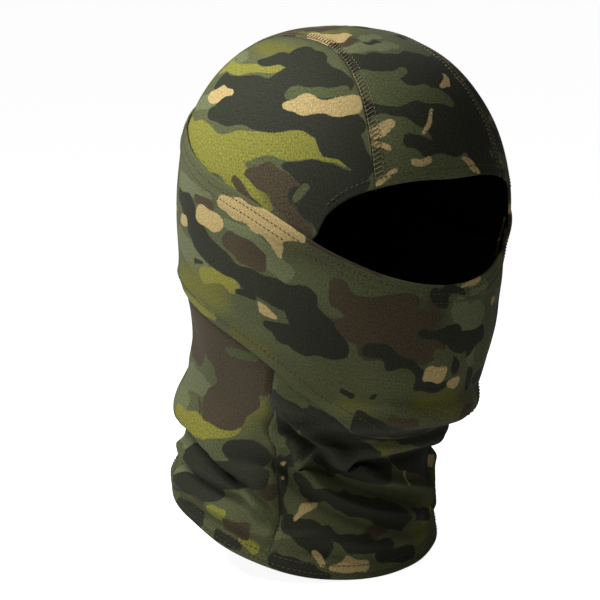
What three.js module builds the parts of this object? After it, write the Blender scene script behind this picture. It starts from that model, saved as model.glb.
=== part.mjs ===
// Camouflage face mask: a three-panel hood with an eye opening, a neck skirt, and a face cover
// whose wings wrap round the hood. The cover pulls down from the nose to below the chin.
//
// Millimetres. +Z up, the face looks along -Y, the wearer's right is -X.
// The origin is the inside of the crown, where the head carries the mask.
import * as THREE from 'three';

// ---------------------------------------------------------------- driving sizes
const crownHeight = 94.5;      // apex down to the widest line of the head
const headHalfBreadth = 78.5; // head centre line out to the cloth over the ear
const browReach = 94;         // head centre line forward to the forehead
const napeReach = 98.5;       // head centre line back to the back of the head
const neckHalfBreadth = 64;   // neck skirt at its narrowest, out to the side
const neckFront = 33;         // head centre line forward to the throat
const neckBack = 106;         // head centre line back to the nape cloth
const hemDrop = 167;          // widest line of the head down to the middle of the bottom hem
const hemTilt = 27;           // the bottom hem hangs this much lower in front, higher behind
const crownRound = 2.28;      // 2 is an ellipse, more is squarer, seen from the side
const crownLean = 0.1;        // the crown is this much flatter over the brow, fuller behind
const headRound = 2.15;       // the same, seen from above

const clothThickness = 1.5;   // hood and neck panels
const bandThickness = 1.2;    // back band and the turned-in hems
const coverThickness = 1.5;   // face cover
const clearance = 0.3;        // between two pieces that lie on each other
const turnGap = 0.7;          // between a panel and the hem turned in behind it
const slideClearance = 1.9;   // between the hood and the cover that slides down over it
const seamLift = 0.7;         // between a neck seam's thread and the panels, which fold in there
const seamGap = 0.6;          // between the edges of two panels that are sewn together

const hemDepth = 10;          // turned-in cloth at the bottom hem
const coverHemDepth = 12;     // turned-in cloth at the top of the face cover
const browHemDepth = 8;       // turned-in cloth round the eye opening
const threadRadius = 0.35;    // sewing thread, half its thickness
const stitchWidth = 3.6;      // width of the zigzag along a crown seam
const stitchPitch = 4.5;      // one full zigzag
const coverRow = [3.6, 8.2];  // the cover's two stitch rows, below its top edge
const hemRow = [2.2, 6.8];    // the bottom hem's two stitch rows, above the edge
const browRow = 4.2;          // the eye opening's stitch row, from its edge

const crownSeamFront = 40;    // half width of the centre panel at the brow
const crownSeamTop = 27;      // and over the top and down the back
const coverEnd = 98;          // how far round the face cover reaches, degrees
const bandStart = 84;         // where the back band starts, under the cover's ends, degrees
const liningEnd = bandStart - 2; // how far round the cover's turned-in hem reaches, degrees

// Layers, as distances outward from the head's surface.
const hoodLayer = [0, clothThickness];
const hemLayer = [-turnGap - bandThickness, -turnGap];
const bandLayer = [clothThickness + clearance, clothThickness + clearance + bandThickness];
const liningLayer = [clothThickness + slideClearance, clothThickness + slideClearance + bandThickness];
const coverLayer = [liningLayer[1] + turnGap, liningLayer[1] + turnGap + coverThickness];

// ---------------------------------------------------------------- edges
// Each edge is a list of [degrees from the front, drop below the widest line of the head].
const browEdge = [[0, -26], [15, -26], [30, -22.5], [40, -17], [47, -9], [52, 3]];
const coverTop = [[0, 29], [15, 27], [30, 21], [45, 10.5], [60, -2], [75, -12.5], [90, -20.5],
  [105, -29], [120, -38], [135, -45], [150, -50], [165, -53], [180, -54]];
const coverBottom = [[0, 112], [15, 111], [30, 106], [45, 97], [60, 84], [70, 74], [80, 65],
  [90, 58], [105, 51], [120, 45], [135, 40], [150, 36], [165, 33], [180, 32]];
const joinEdge = [[52, 6], [60, 14], [75, 20], [90, 20], [105, 14], [120, 7], [135, 2],
  [150, 0.5], [162, 0], [180, 0]];
const throatEdge = [[0, 102], [15, 101], [30, 96], [45, 88], [60, 75], [71, 66], [85, 59],
  [100, 54], [130, 49], [180, 46]];

// The seam between the neck's front and side panels, as [drop, degrees from the front].
const neckSeam = [[60, 71], [90, 71], [105, 69], [115, 65], [125, 57], [137, 49], [150, 44],
  [163, 43], [175, 46], [200, 50]];

// Head and neck sections: [drop, front, back, half breadth, centre, taper]. Front, back and half
// breadth are differences from the driving sizes of the head (first list) or the neck (second).
// The taper narrows the face towards its front.
const headSections = [[0, 0, 0, 0, 2, 0], [17, -3, 1.5, -1.5, 2, 0.1], [37, -3, -1.5, -2.5, 2, 0.16],
  [57, -4, -5.5, -5.5, 3, 0.18], [74, -8, -3.5, -10, 6, 0.16], [88, -15, 5.5, -13, 11, 0.1],
  [100, -14, 10.5, -15.5, 17, 0.06], [108, -35, 11.5, -16, 20, 0.05], [114, -40, 11.5, -16, 23, 0.04]];
const neckSections = [[121, 19, 4, -2, 27, 0.02], [130, -5, 0, -2, 32, 0], [138, -5, 0, 0, 37, 0],
  [149, -7, 3, 4, 40, 0], [163, -6, 11, 7, 42, 0], [179, -4, 16, 9, 42, 0], [200, -3, 19, 11, 42, 0]];
const sections = [
  ...headSections.map(([d, f, b, w, ...rest]) => [d, browReach + f, napeReach + b,
    headHalfBreadth + w, ...rest]),
  ...neckSections.map(([d, f, b, w, ...rest]) => [d, neckFront + f, neckBack + b,
    neckHalfBreadth + w, ...rest]),
];

// ---------------------------------------------------------------- the head's surface
const rad = Math.PI / 180;
const power = (v, e) => Math.sign(v) * Math.abs(v) ** e;
const lerp = (a, b, t) => a + (b - a) * t;

// A smooth curve through rows [x, y...]; `col` picks the column.
function smooth(rows, x, col = 1) {
  const last = rows.length - 1;
  const slope = (i) => (i === 0 || i === last) ? 0
    : (rows[i + 1][col] - rows[i - 1][col]) / (rows[i + 1][0] - rows[i - 1][0]);
  const at = Math.min(Math.max(x, rows[0][0]), rows[last][0]);
  let i = 0;
  while (i < last - 1 && at > rows[i + 1][0]) i += 1;
  const h = rows[i + 1][0] - rows[i][0];
  const t = (at - rows[i][0]) / h;
  return (2 * t ** 3 - 3 * t ** 2 + 1) * rows[i][col] + (t ** 3 - 2 * t ** 2 + t) * h * slope(i)
    + (-2 * t ** 3 + 3 * t ** 2) * rows[i + 1][col] + (t ** 3 - t ** 2) * h * slope(i + 1);
}

const edge = (rows) => (degrees) => smooth(rows, Math.abs(degrees));
const hemEdge = (degrees) => hemDrop + hemTilt * Math.cos(degrees * rad);
const centreY = sections[0][4];
const reach = (y) => (y < 0 ? browReach + centreY : napeReach - centreY);
const roundness = (cosine) => crownRound - crownLean * cosine;

// Point on the crown over plan position (x, y), y measured from the head's centre.
function crownPoint(x, y, off) {
  const u = Math.abs(x) / headHalfBreadth;
  const v = Math.abs(y) / reach(y);
  const k = Math.min((u ** headRound + v ** headRound) ** (1 / headRound), 1);
  const e = roundness(-Math.sign(y) * (v / Math.max(k, 1e-9)) ** (headRound / 2));
  const q = (1 - k ** e) ** (1 / e);
  const lift = Math.max(k, 1e-6) ** (e - headRound);
  const n = new THREE.Vector3(
    Math.sign(x) * lift * u ** (headRound - 1) / headHalfBreadth,
    Math.sign(y) * lift * v ** (headRound - 1) / reach(y),
    q ** (e - 1) / crownHeight).normalize();
  return new THREE.Vector3(x, centreY + y, (q - 1) * crownHeight).addScaledVector(n, off);
}

// Plan position on the crown, from the angle round the head and the drop (negative here).
function crownPlan(degrees, drop) {
  const q = Math.min(Math.max(-drop / crownHeight, 0), 1);
  const e = roundness(Math.cos(degrees * rad));
  const k = (1 - q ** e) ** (1 / e);
  const c = power(Math.cos(degrees * rad), 2 / headRound);
  return [headHalfBreadth * k * power(Math.sin(degrees * rad), 2 / headRound),
    k * (c > 0 ? -(browReach + centreY) * c : -(napeReach - centreY) * c)];
}

function bareTubePoint(degrees, drop) {
  const [front, back, half, centre, taper] = [1, 2, 3, 4, 5].map((col) => smooth(sections, drop, col));
  const c = power(Math.cos(degrees * rad), 2 / headRound);
  const y = centre + (c > 0 ? -(centre + front) * c : -(back - centre) * c);
  const narrow = 1 - taper * Math.max(Math.cos(degrees * rad), 0) ** 2;
  return new THREE.Vector3(half * narrow * power(Math.sin(degrees * rad), 2 / headRound), y,
    -crownHeight - drop);
}

// Point on the head or neck at an angle round it and a drop, moved outward by `off`.
function skin(degrees, drop, off = 0) {
  if (drop < 0) return crownPoint(...crownPlan(degrees, drop), off);
  const p = bareTubePoint(degrees, drop);
  if (off === 0) return p;
  const round = bareTubePoint(degrees + 0.5, drop).sub(bareTubePoint(degrees - 0.5, drop));
  const low = Math.max(drop - 0.5, 0);
  const down = bareTubePoint(degrees, low + 1).sub(bareTubePoint(degrees, low));
  return p.addScaledVector(down.cross(round).normalize(), off);
}

// ---------------------------------------------------------------- solids
function solid(name, colour, vertices, faces) {
  const geometry = new THREE.BufferGeometry();
  const flat = new Float32Array(faces.length * 3);
  faces.forEach((v, i) => vertices[v].toArray(flat, i * 3));
  geometry.setAttribute('position', new THREE.BufferAttribute(flat, 3));
  geometry.computeVertexNormals();
  const material = new THREE.MeshStandardMaterial({ color: colour, roughness: 0.9 });
  const mesh = new THREE.Mesh(geometry, material);
  mesh.name = name;
  return mesh;
}

// A sheet of cloth: `at(i, j, off)` gives the grid point (i across, j down) at a distance out.
// `closed` joins the last column to the first.
function sheet(name, colour, columns, rows, layer, at, closed = false) {
  const n = closed ? columns : columns + 1;
  const m = rows + 1;
  const vertices = [];
  for (const off of layer) {
    for (let j = 0; j < m; j += 1) for (let i = 0; i < n; i += 1) vertices.push(at(i, j, off));
  }
  const id = (i, j, top) => (top ? n * m : 0) + j * n + (i % n);
  const faces = [];
  const quad = (a, b, c, d) => faces.push(a, b, c, a, c, d);
  for (let j = 0; j < rows; j += 1) {
    for (let i = 0; i < columns; i += 1) {
      quad(id(i, j, 1), id(i, j + 1, 1), id(i + 1, j + 1, 1), id(i + 1, j, 1));
      quad(id(i, j, 0), id(i + 1, j, 0), id(i + 1, j + 1, 0), id(i, j + 1, 0));
    }
  }
  for (let i = 0; i < columns; i += 1) {
    quad(id(i, 0, 0), id(i, 0, 1), id(i + 1, 0, 1), id(i + 1, 0, 0));
    quad(id(i, rows, 0), id(i + 1, rows, 0), id(i + 1, rows, 1), id(i, rows, 1));
  }
  for (let j = 0; j < rows && !closed; j += 1) {
    quad(id(0, j, 0), id(0, j + 1, 0), id(0, j + 1, 1), id(0, j, 1));
    quad(id(columns, j, 0), id(columns, j, 1), id(columns, j + 1, 1), id(columns, j + 1, 0));
  }
  return solid(name, colour, vertices, faces);
}

// A patch of the head between two angles and two edges.
function patch(name, colour, from, to, columns, rows, top, bottom, layer) {
  const closed = to - from === 360;
  return sheet(name, colour, columns, rows, layer, (i, j, off) => {
    const a = lerp(from, to, i / columns);
    return skin(a, lerp(top(a), bottom(a), j / rows), off);
  }, closed);
}

// A thread of square section along points, each given with its outward direction.
function thread(name, colour, stations, closed = false) {
  const n = stations.length;
  const corners = stations.map(({ point, out }, i) => {
    const before = stations[closed ? (i + n - 1) % n : Math.max(i - 1, 0)].point;
    const after = stations[closed ? (i + 1) % n : Math.min(i + 1, n - 1)].point;
    const along = after.clone().sub(before).normalize();
    const side = along.clone().cross(out).normalize();
    return [[1, 0], [0, 1], [-1, 0], [0, -1]].map(([s, o]) => point.clone()
      .addScaledVector(side, s * threadRadius).addScaledVector(out, o * threadRadius));
  });
  const faces = [];
  const links = closed ? n : n - 1;
  for (let i = 0; i < links; i += 1) {
    const k = (i + 1) % n;
    for (let s = 0; s < 4; s += 1) {
      const t = (s + 1) % 4;
      faces.push(i * 4 + s, k * 4 + s, k * 4 + t, i * 4 + s, k * 4 + t, i * 4 + t);
    }
  }
  if (!closed) {
    faces.push(0, 1, 2, 0, 2, 3);
    const e = (n - 1) * 4;
    faces.push(e, e + 2, e + 1, e, e + 3, e + 2);
  }
  const vertices = corners.flat();
  if (signedVolume(vertices, faces) < 0) {
    for (let f = 0; f < faces.length; f += 3) [faces[f], faces[f + 1]] = [faces[f + 1], faces[f]];
  }
  return solid(name, colour, vertices, faces);
}

function signedVolume(vertices, faces) {
  let sum = 0;
  for (let f = 0; f < faces.length; f += 3) {
    const [a, b, c] = [0, 1, 2].map((k) => vertices[faces[f + k]]);
    sum += a.dot(b.clone().cross(c));
  }
  return sum / 6;
}

// A thread station on the head: on the outside of a layer.
function station(degrees, drop, layer, lift = clearance) {
  const off = layer[1] + lift + threadRadius;
  const point = skin(degrees, drop, off);
  return { point, out: skin(degrees, drop, off + 1).sub(point).normalize() };
}

// ---------------------------------------------------------------- colours
const green = '#3c4430';
const olive = '#6b7335';
const dark = '#2a2e26';
const brown = '#4a3d31';
const tan = '#a08a62';
const stitchColour = '#6a6350';

// ---------------------------------------------------------------- crown seams
// Half width of the centre panel, at a share of the way from the brow to the back.
const seamHalf = (share) => {
  const t = Math.min(share / 0.45, 1);
  return lerp(crownSeamFront, crownSeamTop, t * t * (3 - 2 * t));
};
const planLimit = (x) => (1 - (Math.abs(x) / headHalfBreadth) ** headRound) ** (1 / headRound);

// The brow edge's plan position for a given x.
function browPlan(x) {
  let angle = 0;
  for (let pass = 0; pass < 30; pass += 1) {
    const q = Math.max(-edge(browEdge)(angle), 0) / crownHeight;
    const e = roundness(Math.cos(angle * rad));
    const k = (1 - q ** e) ** (1 / e);
    const s = Math.min(Math.abs(x) / (headHalfBreadth * k), 1) ** (headRound / 2);
    angle = Math.asin(s) / rad;
  }
  return crownPlan(angle, edge(browEdge)(angle))[1];
}

// Plan position on the crown: `share` from brow (0) to the back (1), `x` across.
function stripPlan(share, x) {
  const front = browPlan(x);
  const back = (napeReach - centreY) * planLimit(x) * 0.999;
  const swing = (1 - Math.cos(Math.PI * share)) / 2;
  return [x, lerp(front, back, lerp(swing, share, 0.25))];
}

// The same point as an angle and a drop.
function seamChart(share, x) {
  const [, y] = stripPlan(share, x);
  const u = (Math.abs(x) / headHalfBreadth) ** (headRound / 2);
  const v = (Math.abs(y) / reach(y)) ** (headRound / 2);
  const k = Math.min(Math.hypot(u, v) ** (2 / headRound), 1);
  const angle = Math.atan2(u, y < 0 ? v : -v) / rad;
  const e = roundness(Math.cos(angle * rad));
  return { angle, drop: -((1 - k ** e) ** (1 / e)) * crownHeight };
}

// ---------------------------------------------------------------- pieces
const pieces = [];
const crownSteps = Math.round(headHalfBreadth * 0.46);

function crownCentrePanel() {
  return sheet('crown_centre_panel', green, 8, crownSteps, hoodLayer, (i, j, off) => {
    const share = j / crownSteps;
    const x = lerp(-1, 1, i / 8) * (seamHalf(share) - seamGap / 2);
    return crownPoint(...stripPlan(share, x), off);
  });
}

// Side panel of the hood: from the crown seam down to the eye opening and to the hidden seam.
function hoodSidePanel(name, side) {
  const first = 0.035;
  const steps = crownSteps;
  const rows = Math.round(headHalfBreadth / 6.5);
  return sheet(name, olive, steps, rows, hoodLayer, (i, j, off) => {
    const share = lerp(first, 0.975, (side > 0 ? i : steps - i) / steps);
    const x = seamHalf(share) + seamGap / 2;
    const { angle, drop } = seamChart(share, x);
    const low = (angle < joinEdge[0][0] ? edge(browEdge)(angle) : edge(joinEdge)(angle) - seamGap);
    return skin(side * angle, lerp(drop, Math.max(low, drop + 0.6), j / rows), off);
  });
}

// Zigzag over a crown seam, from the brow's stitch row to where the back band covers the seam.
function crownStitch(name, side) {
  const stations = [];
  const length = (browReach + napeReach) * 1.32;
  const turns = Math.round(length / stitchPitch) * 2;
  const off = hoodLayer[1] + clearance + threadRadius;
  for (let i = 0; i <= turns; i += 1) {
    const share = lerp(0.012, 0.985, i / turns);
    const x = seamHalf(share) + (i % 2 ? 0.5 : -0.5) * stitchWidth;
    const { angle, drop } = seamChart(share, x);
    if (angle > 90 && drop > edge(coverTop)(angle) - 2) break;
    if (angle < 90 && drop > edge(browEdge)(angle) - browRow - 4 * threadRadius) continue;
    const plan = stripPlan(share, x);
    const point = crownPoint(side * plan[0], plan[1], off);
    const out = crownPoint(side * plan[0], plan[1], off + 1).sub(point).normalize();
    stations.push({ point, out });
  }
  return thread(name, stitchColour, stations);
}

// The neck panels share their rows below the throat, so that their sewn edges run together.
const neckRows = Math.round(hemDrop * headHalfBreadth / 834);
const neckColumns = Math.round(headHalfBreadth * 0.28);
const neckDrop = (angle, row) => lerp(edge(throatEdge)(angle), hemEdge(angle), row / neckRows);

// Angle of the neck seam at a row: the row's drop and the seam's angle settle on each other.
function neckSeamAngle(row) {
  let angle = neckSeam[0][1];
  for (let pass = 0; pass < 20; pass += 1) angle = smooth(neckSeam, neckDrop(angle, row));
  return angle;
}

function neckSidePanel(name, side) {
  const columns = 20;
  const upperRows = 6;
  const gapAngle = seamGap / 2 / neckHalfBreadth / rad;
  return sheet(name, brown, columns, upperRows + neckRows, hoodLayer, (i, j, off) => {
    const t = (side > 0 ? i : columns - i) / columns;
    const upper = Math.min(j / upperRows, 1);
    const lower = Math.max(j - upperRows, 0);
    const front = lerp(joinEdge[0][0], neckSeamAngle(lower), upper) + gapAngle;
    const a = lerp(front, 180 - gapAngle, t);
    return skin(side * a, lower > 0 ? neckDrop(a, lower)
      : lerp(edge(joinEdge)(a), edge(throatEdge)(a), upper), off);
  });
}

function neckFrontPanel() {
  const gapAngle = seamGap / 2 / neckHalfBreadth / rad;
  return sheet('neck_front_panel', green, neckColumns, neckRows, hoodLayer, (i, j, off) => {
    const a = lerp(-1, 1, i / neckColumns) * (neckSeamAngle(j) - gapAngle);
    return skin(a, neckDrop(a, j), off);
  });
}

function rowOfStitches(name, from, to, count, drop, layer) {
  const stations = [];
  const closed = to - from === 360;
  for (let i = 0; i < count + (closed ? 0 : 1); i += 1) {
    const a = lerp(from, to, i / count);
    stations.push(station(a, drop(a), layer));
  }
  return thread(name, stitchColour, stations, closed);
}

// A seam down the neck, over the rows of the panels that it joins, clear of the hem's stitches.
function upDownSeam(name, angleAt) {
  const stations = [];
  for (let j = 1; j < neckRows; j += 1) {
    const angle = angleAt(j);
    const clear = hemEdge(angle) - hemRow[1] - 3 * threadRadius;
    if (neckDrop(angle, j) >= clear) break;
    stations.push(station(angle, neckDrop(angle, j), hoodLayer, seamLift));
  }
  return thread(name, stitchColour, stations);
}

pieces.push(crownCentrePanel());
pieces.push(hoodSidePanel('hood_side_panel_right', -1));
pieces.push(hoodSidePanel('hood_side_panel_left', 1));
pieces.push(neckSidePanel('neck_side_panel_right', -1));
pieces.push(neckSidePanel('neck_side_panel_left', 1));
pieces.push(neckFrontPanel());

const browSpan = browEdge[browEdge.length - 1][0] - 4;
pieces.push(patch('brow_hem', dark, -browSpan, browSpan, Math.round(headHalfBreadth * 0.5), 3,
  (a) => edge(browEdge)(a) - browHemDepth, edge(browEdge), hemLayer));
pieces.push(patch('bottom_hem', dark, 0, 360, 60, 2,
  (a) => hemEdge(a) - hemDepth, hemEdge, hemLayer));

const band = patch('cover_back_band', brown, bandStart, 360 - bandStart, 34, 14,
  (a) => edge(coverTop)(a > 180 ? 360 - a : a), (a) => edge(coverBottom)(a > 180 ? 360 - a : a),
  bandLayer);
pieces.push(band);

pieces.push(patch('face_cover', tan, -coverEnd, coverEnd, 34, 16,
  edge(coverTop), edge(coverBottom), coverLayer));
pieces.push(patch('face_cover_hem', dark, -liningEnd, liningEnd, 30, 2,
  edge(coverTop), (a) => edge(coverTop)(a) + coverHemDepth, liningLayer));

pieces.push(crownStitch('crown_stitching_right', -1));
pieces.push(crownStitch('crown_stitching_left', 1));
pieces.push(rowOfStitches('brow_stitching', -browSpan + 3, browSpan - 3, 32,
  (a) => edge(browEdge)(a) - browRow, hoodLayer));
pieces.push(rowOfStitches('cover_stitching_upper', -coverEnd + 1, coverEnd - 1, 44,
  (a) => edge(coverTop)(a) + coverRow[0], coverLayer));
pieces.push(rowOfStitches('cover_stitching_lower', -coverEnd + 1, coverEnd - 1, 44,
  (a) => edge(coverTop)(a) + coverRow[1], coverLayer));
pieces.push(rowOfStitches('hem_stitching_upper', 0, 360, 64,
  (a) => hemEdge(a) - hemRow[1], hoodLayer));
pieces.push(rowOfStitches('hem_stitching_lower', 0, 360, 64,
  (a) => hemEdge(a) - hemRow[0], hoodLayer));

pieces.push(upDownSeam('neck_seam_right', (row) => -neckSeamAngle(row)));
pieces.push(upDownSeam('neck_seam_left', neckSeamAngle));
pieces.push(upDownSeam('back_seam', () => 180));

const group = new THREE.Group();
group.name = 'camo_face_mask';
for (const mesh of pieces) {
  if (signedVolumeOf(mesh) < 0) flip(mesh);
  group.add(mesh);
}

function signedVolumeOf(mesh) {
  const p = mesh.geometry.getAttribute('position');
  const points = [];
  for (let i = 0; i < p.count; i += 1) points.push(new THREE.Vector3().fromBufferAttribute(p, i));
  return signedVolume(points, points.map((_, i) => i));
}

function flip(mesh) {
  const p = mesh.geometry.getAttribute('position').array;
  for (let i = 0; i < p.length; i += 9) {
    for (let k = 0; k < 3; k += 1) [p[i + k], p[i + 3 + k]] = [p[i + 3 + k], p[i + k]];
  }
  mesh.geometry.computeVertexNormals();
}

export default group;
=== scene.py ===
# %% [markdown]
# # A camouflage cloth face mask
# The mask is a hood of thin printed knit: a centre strip and two side panels over the head, three
# panels round the neck, and a face cover whose wings wrap round the head. The imported CAD model is
# the fixed frame. Here each plain CAD shell is replaced by cloth with real hems, seams and folds.
# The frame is loaded first, and its box is kept; its lowest point sets the floor.

# %% Load the frame
import math

import bpy
import numpy as np
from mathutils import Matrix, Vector


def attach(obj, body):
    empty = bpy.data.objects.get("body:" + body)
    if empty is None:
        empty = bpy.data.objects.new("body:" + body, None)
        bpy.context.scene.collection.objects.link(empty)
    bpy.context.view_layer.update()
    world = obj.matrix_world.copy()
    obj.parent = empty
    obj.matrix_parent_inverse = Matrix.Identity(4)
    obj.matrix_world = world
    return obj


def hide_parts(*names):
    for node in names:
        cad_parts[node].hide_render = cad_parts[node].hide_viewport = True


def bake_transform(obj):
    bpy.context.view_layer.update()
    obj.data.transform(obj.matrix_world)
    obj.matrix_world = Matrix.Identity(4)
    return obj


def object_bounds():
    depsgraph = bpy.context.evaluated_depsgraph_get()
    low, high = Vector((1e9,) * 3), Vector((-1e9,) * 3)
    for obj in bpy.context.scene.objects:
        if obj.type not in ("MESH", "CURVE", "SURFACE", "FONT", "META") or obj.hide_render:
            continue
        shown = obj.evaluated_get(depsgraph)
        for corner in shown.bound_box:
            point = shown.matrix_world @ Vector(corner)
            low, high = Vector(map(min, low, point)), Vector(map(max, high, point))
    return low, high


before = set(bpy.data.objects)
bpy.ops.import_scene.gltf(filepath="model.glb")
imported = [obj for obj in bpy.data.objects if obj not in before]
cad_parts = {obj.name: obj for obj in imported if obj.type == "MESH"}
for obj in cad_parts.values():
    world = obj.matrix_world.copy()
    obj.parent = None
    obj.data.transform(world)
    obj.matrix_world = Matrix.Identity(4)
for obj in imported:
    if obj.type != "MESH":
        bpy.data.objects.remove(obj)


def corners(box):
    """The two corners of a box as plain lists."""
    return [[float(value) for value in corner] for corner in box]


cad_box = corners(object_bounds())

# %% [markdown]
# ## The head under the cloth
# The mask has no shape of its own: it takes the shape of the head that fills it. The head could be
# sculpted, but then nothing would tie it to the CAD. So it is the same formula as in the CAD: an
# oval whose size changes with height, and a dome above the widest line. A place on it is an angle
# round the head (0 at the nose, positive towards the wearer's left) and a drop below the widest
# line, in millimetres. Sizes stay in millimetres until a mesh is made.

# %% Sizes of the head and the edges
MM = 0.001
CROWN_HEIGHT, HALF_BREADTH, BROW_REACH, NAPE_REACH = 94.5, 78.5, 94.0, 98.5
NECK_HALF, NECK_FRONT, NECK_BACK = 64.0, 33.0, 106.0
HEM_DROP, HEM_TILT = 167.0, 27.0
CROWN_ROUND, CROWN_LEAN, HEAD_ROUND, CENTRE_Y = 2.28, 0.1, 2.15, 2.0

HEAD = [[0, 0, 0, 0, 2, 0], [17, -3, 1.5, -1.5, 2, 0.1], [37, -3, -1.5, -2.5, 2, 0.16],
        [57, -4, -5.5, -5.5, 3, 0.18], [74, -8, -3.5, -10, 6, 0.16], [88, -15, 5.5, -13, 11, 0.1],
        [100, -14, 10.5, -15.5, 17, 0.06], [108, -35, 11.5, -16, 20, 0.05],
        [114, -40, 11.5, -16, 23, 0.04]]
NECK = [[121, 19, 4, -2, 27, 0.02], [130, -5, 0, -2, 32, 0], [138, -5, 0, 0, 37, 0],
        [149, -7, 3, 4, 40, 0], [163, -6, 11, 7, 42, 0], [179, -4, 16, 9, 42, 0],
        [200, -3, 19, 11, 42, 0]]
SECTIONS = np.array(
    [[d, BROW_REACH + f, NAPE_REACH + b, HALF_BREADTH + w, c, t] for d, f, b, w, c, t in HEAD]
    + [[d, NECK_FRONT + f, NECK_BACK + b, NECK_HALF + w, c, t] for d, f, b, w, c, t in NECK])

BROW_EDGE = [[0, -26], [15, -26], [30, -22.5], [40, -17], [47, -9], [52, 3]]
COVER_TOP = [[0, 29], [15, 27], [30, 21], [45, 10.5], [60, -2], [75, -12.5], [90, -20.5],
             [105, -29], [120, -38], [135, -45], [150, -50], [165, -53], [180, -54]]
COVER_BOTTOM = [[0, 112], [15, 111], [30, 106], [45, 97], [60, 84], [70, 74], [80, 65], [90, 58],
                [105, 51], [120, 45], [135, 40], [150, 36], [165, 33], [180, 32]]
JOIN_EDGE = [[52, 6], [60, 14], [75, 20], [90, 20], [105, 14], [120, 7], [135, 2], [150, 0.5],
             [162, 0], [180, 0]]
THROAT_EDGE = [[0, 102], [15, 101], [30, 96], [45, 88], [60, 75], [71, 66], [85, 59], [100, 54],
               [130, 49], [180, 46]]
NECK_SEAM = [[60, 71], [90, 71], [105, 69], [115, 65], [125, 57], [137, 49], [150, 44],
             [163, 43], [175, 46], [200, 50]]
SEAM_FRONT, SEAM_TOP = 40.0, 27.0      # half width of the centre panel at the brow and over the top

# %% Helpers for curves


def smooth(rows, x, column=1):
    """Cubic Hermite curve through rows [x, y...], whose slope at a row is that of the line between
    its two neighbours, and level at both ends."""
    rows = np.asarray(rows, float)
    xs, ys = rows[:, 0], rows[:, column]
    slope = np.zeros(len(xs))
    slope[1:-1] = (ys[2:] - ys[:-2]) / (xs[2:] - xs[:-2])
    at = np.clip(x, xs[0], xs[-1])
    i = np.clip(np.searchsorted(xs, at, side="left") - 1, 0, len(xs) - 2)
    h = xs[i + 1] - xs[i]
    t = (at - xs[i]) / h
    return ((2 * t**3 - 3 * t**2 + 1) * ys[i] + (t**3 - 2 * t**2 + t) * h * slope[i]
            + (3 * t**2 - 2 * t**3) * ys[i + 1] + (t**3 - t**2) * h * slope[i + 1])


def edge(rows, angle):
    """Drop of an edge at an angle: the same on both sides of the face."""
    return smooth(rows, np.abs(angle))


def hem_edge(angle):
    """Drop of the bottom hem: a plane tilted down to the front, so a cosine of the angle."""
    return HEM_DROP + HEM_TILT * np.cos(np.radians(angle))


def brow_edge(angle):
    """Drop of the eye opening's upper edge."""
    return edge(BROW_EDGE, angle)


def cover_top(angle):
    """Drop of the face cover's upper edge."""
    return edge(COVER_TOP, angle)


def cover_bottom(angle):
    """Drop of the face cover's lower edge."""
    return edge(COVER_BOTTOM, angle)


def step(t):
    """Smooth step from 0 to 1: 3 t squared minus 2 t cubed, held flat outside."""
    t = np.clip(t, 0, 1)
    return t * t * (3 - 2 * t)


def power(value, exponent):
    """A power that keeps the sign of the value."""
    return np.sign(value) * np.abs(value) ** exponent


# %% The head's surface


def unit(v):
    """Vectors divided by their own length."""
    return v / np.maximum(np.linalg.norm(v, axis=-1, keepdims=True), 1e-12)


def crown_at(x, y):
    """Point and outward normal of the dome over a plan place x, y. With k the place's share of the
    way from the centre to the rim, the height is the e-th root of one minus k to the power e."""
    reach = np.where(y < 0, BROW_REACH + CENTRE_Y, NAPE_REACH - CENTRE_Y)
    u, v = np.abs(x) / HALF_BREADTH, np.abs(y) / reach
    k = np.clip((u**HEAD_ROUND + v**HEAD_ROUND) ** (1 / HEAD_ROUND), 1e-6, 1)
    e = CROWN_ROUND + CROWN_LEAN * np.sign(y) * (v / k) ** (HEAD_ROUND / 2)
    q = np.maximum(1 - k**e, 0) ** (1 / e)
    lift = k ** (e - HEAD_ROUND)
    normal = unit(np.stack([np.sign(x) * lift * u ** (HEAD_ROUND - 1) / HALF_BREADTH,
                            np.sign(y) * lift * v ** (HEAD_ROUND - 1) / reach,
                            q ** (e - 1) / CROWN_HEIGHT], -1))
    return np.stack([x, CENTRE_Y + y, (q - 1) * CROWN_HEIGHT], -1), normal


def crown_plan(angle, drop):
    """Plan place on the dome from an angle and a drop below the widest line, which is negative."""
    cosine = np.cos(np.radians(angle))
    q = np.clip(-drop / CROWN_HEIGHT, 0, 1)
    e = CROWN_ROUND - CROWN_LEAN * cosine
    k = (1 - q**e) ** (1 / e)
    c = power(cosine, 2 / HEAD_ROUND)
    reach = np.where(c > 0, BROW_REACH + CENTRE_Y, NAPE_REACH - CENTRE_Y)
    return HALF_BREADTH * k * power(np.sin(np.radians(angle)), 2 / HEAD_ROUND), -k * reach * c


def tube_at(angle, drop):
    """Point on the face or neck: a superellipse with its own front, back, breadth and centre at
    each height, narrowed towards the nose by its taper."""
    angle, drop = np.broadcast_arrays(angle, drop)
    front, back, half, centre, taper = [smooth(SECTIONS, drop, i) for i in range(1, 6)]
    cosine = np.cos(np.radians(angle))
    c = power(cosine, 2 / HEAD_ROUND)
    y = centre + np.where(c > 0, -(centre + front) * c, -(back - centre) * c)
    narrow = 1 - taper * np.maximum(cosine, 0) ** 2
    x = half * narrow * power(np.sin(np.radians(angle)), 2 / HEAD_ROUND)
    return np.stack([x, y, -CROWN_HEIGHT - drop], -1)


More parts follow.
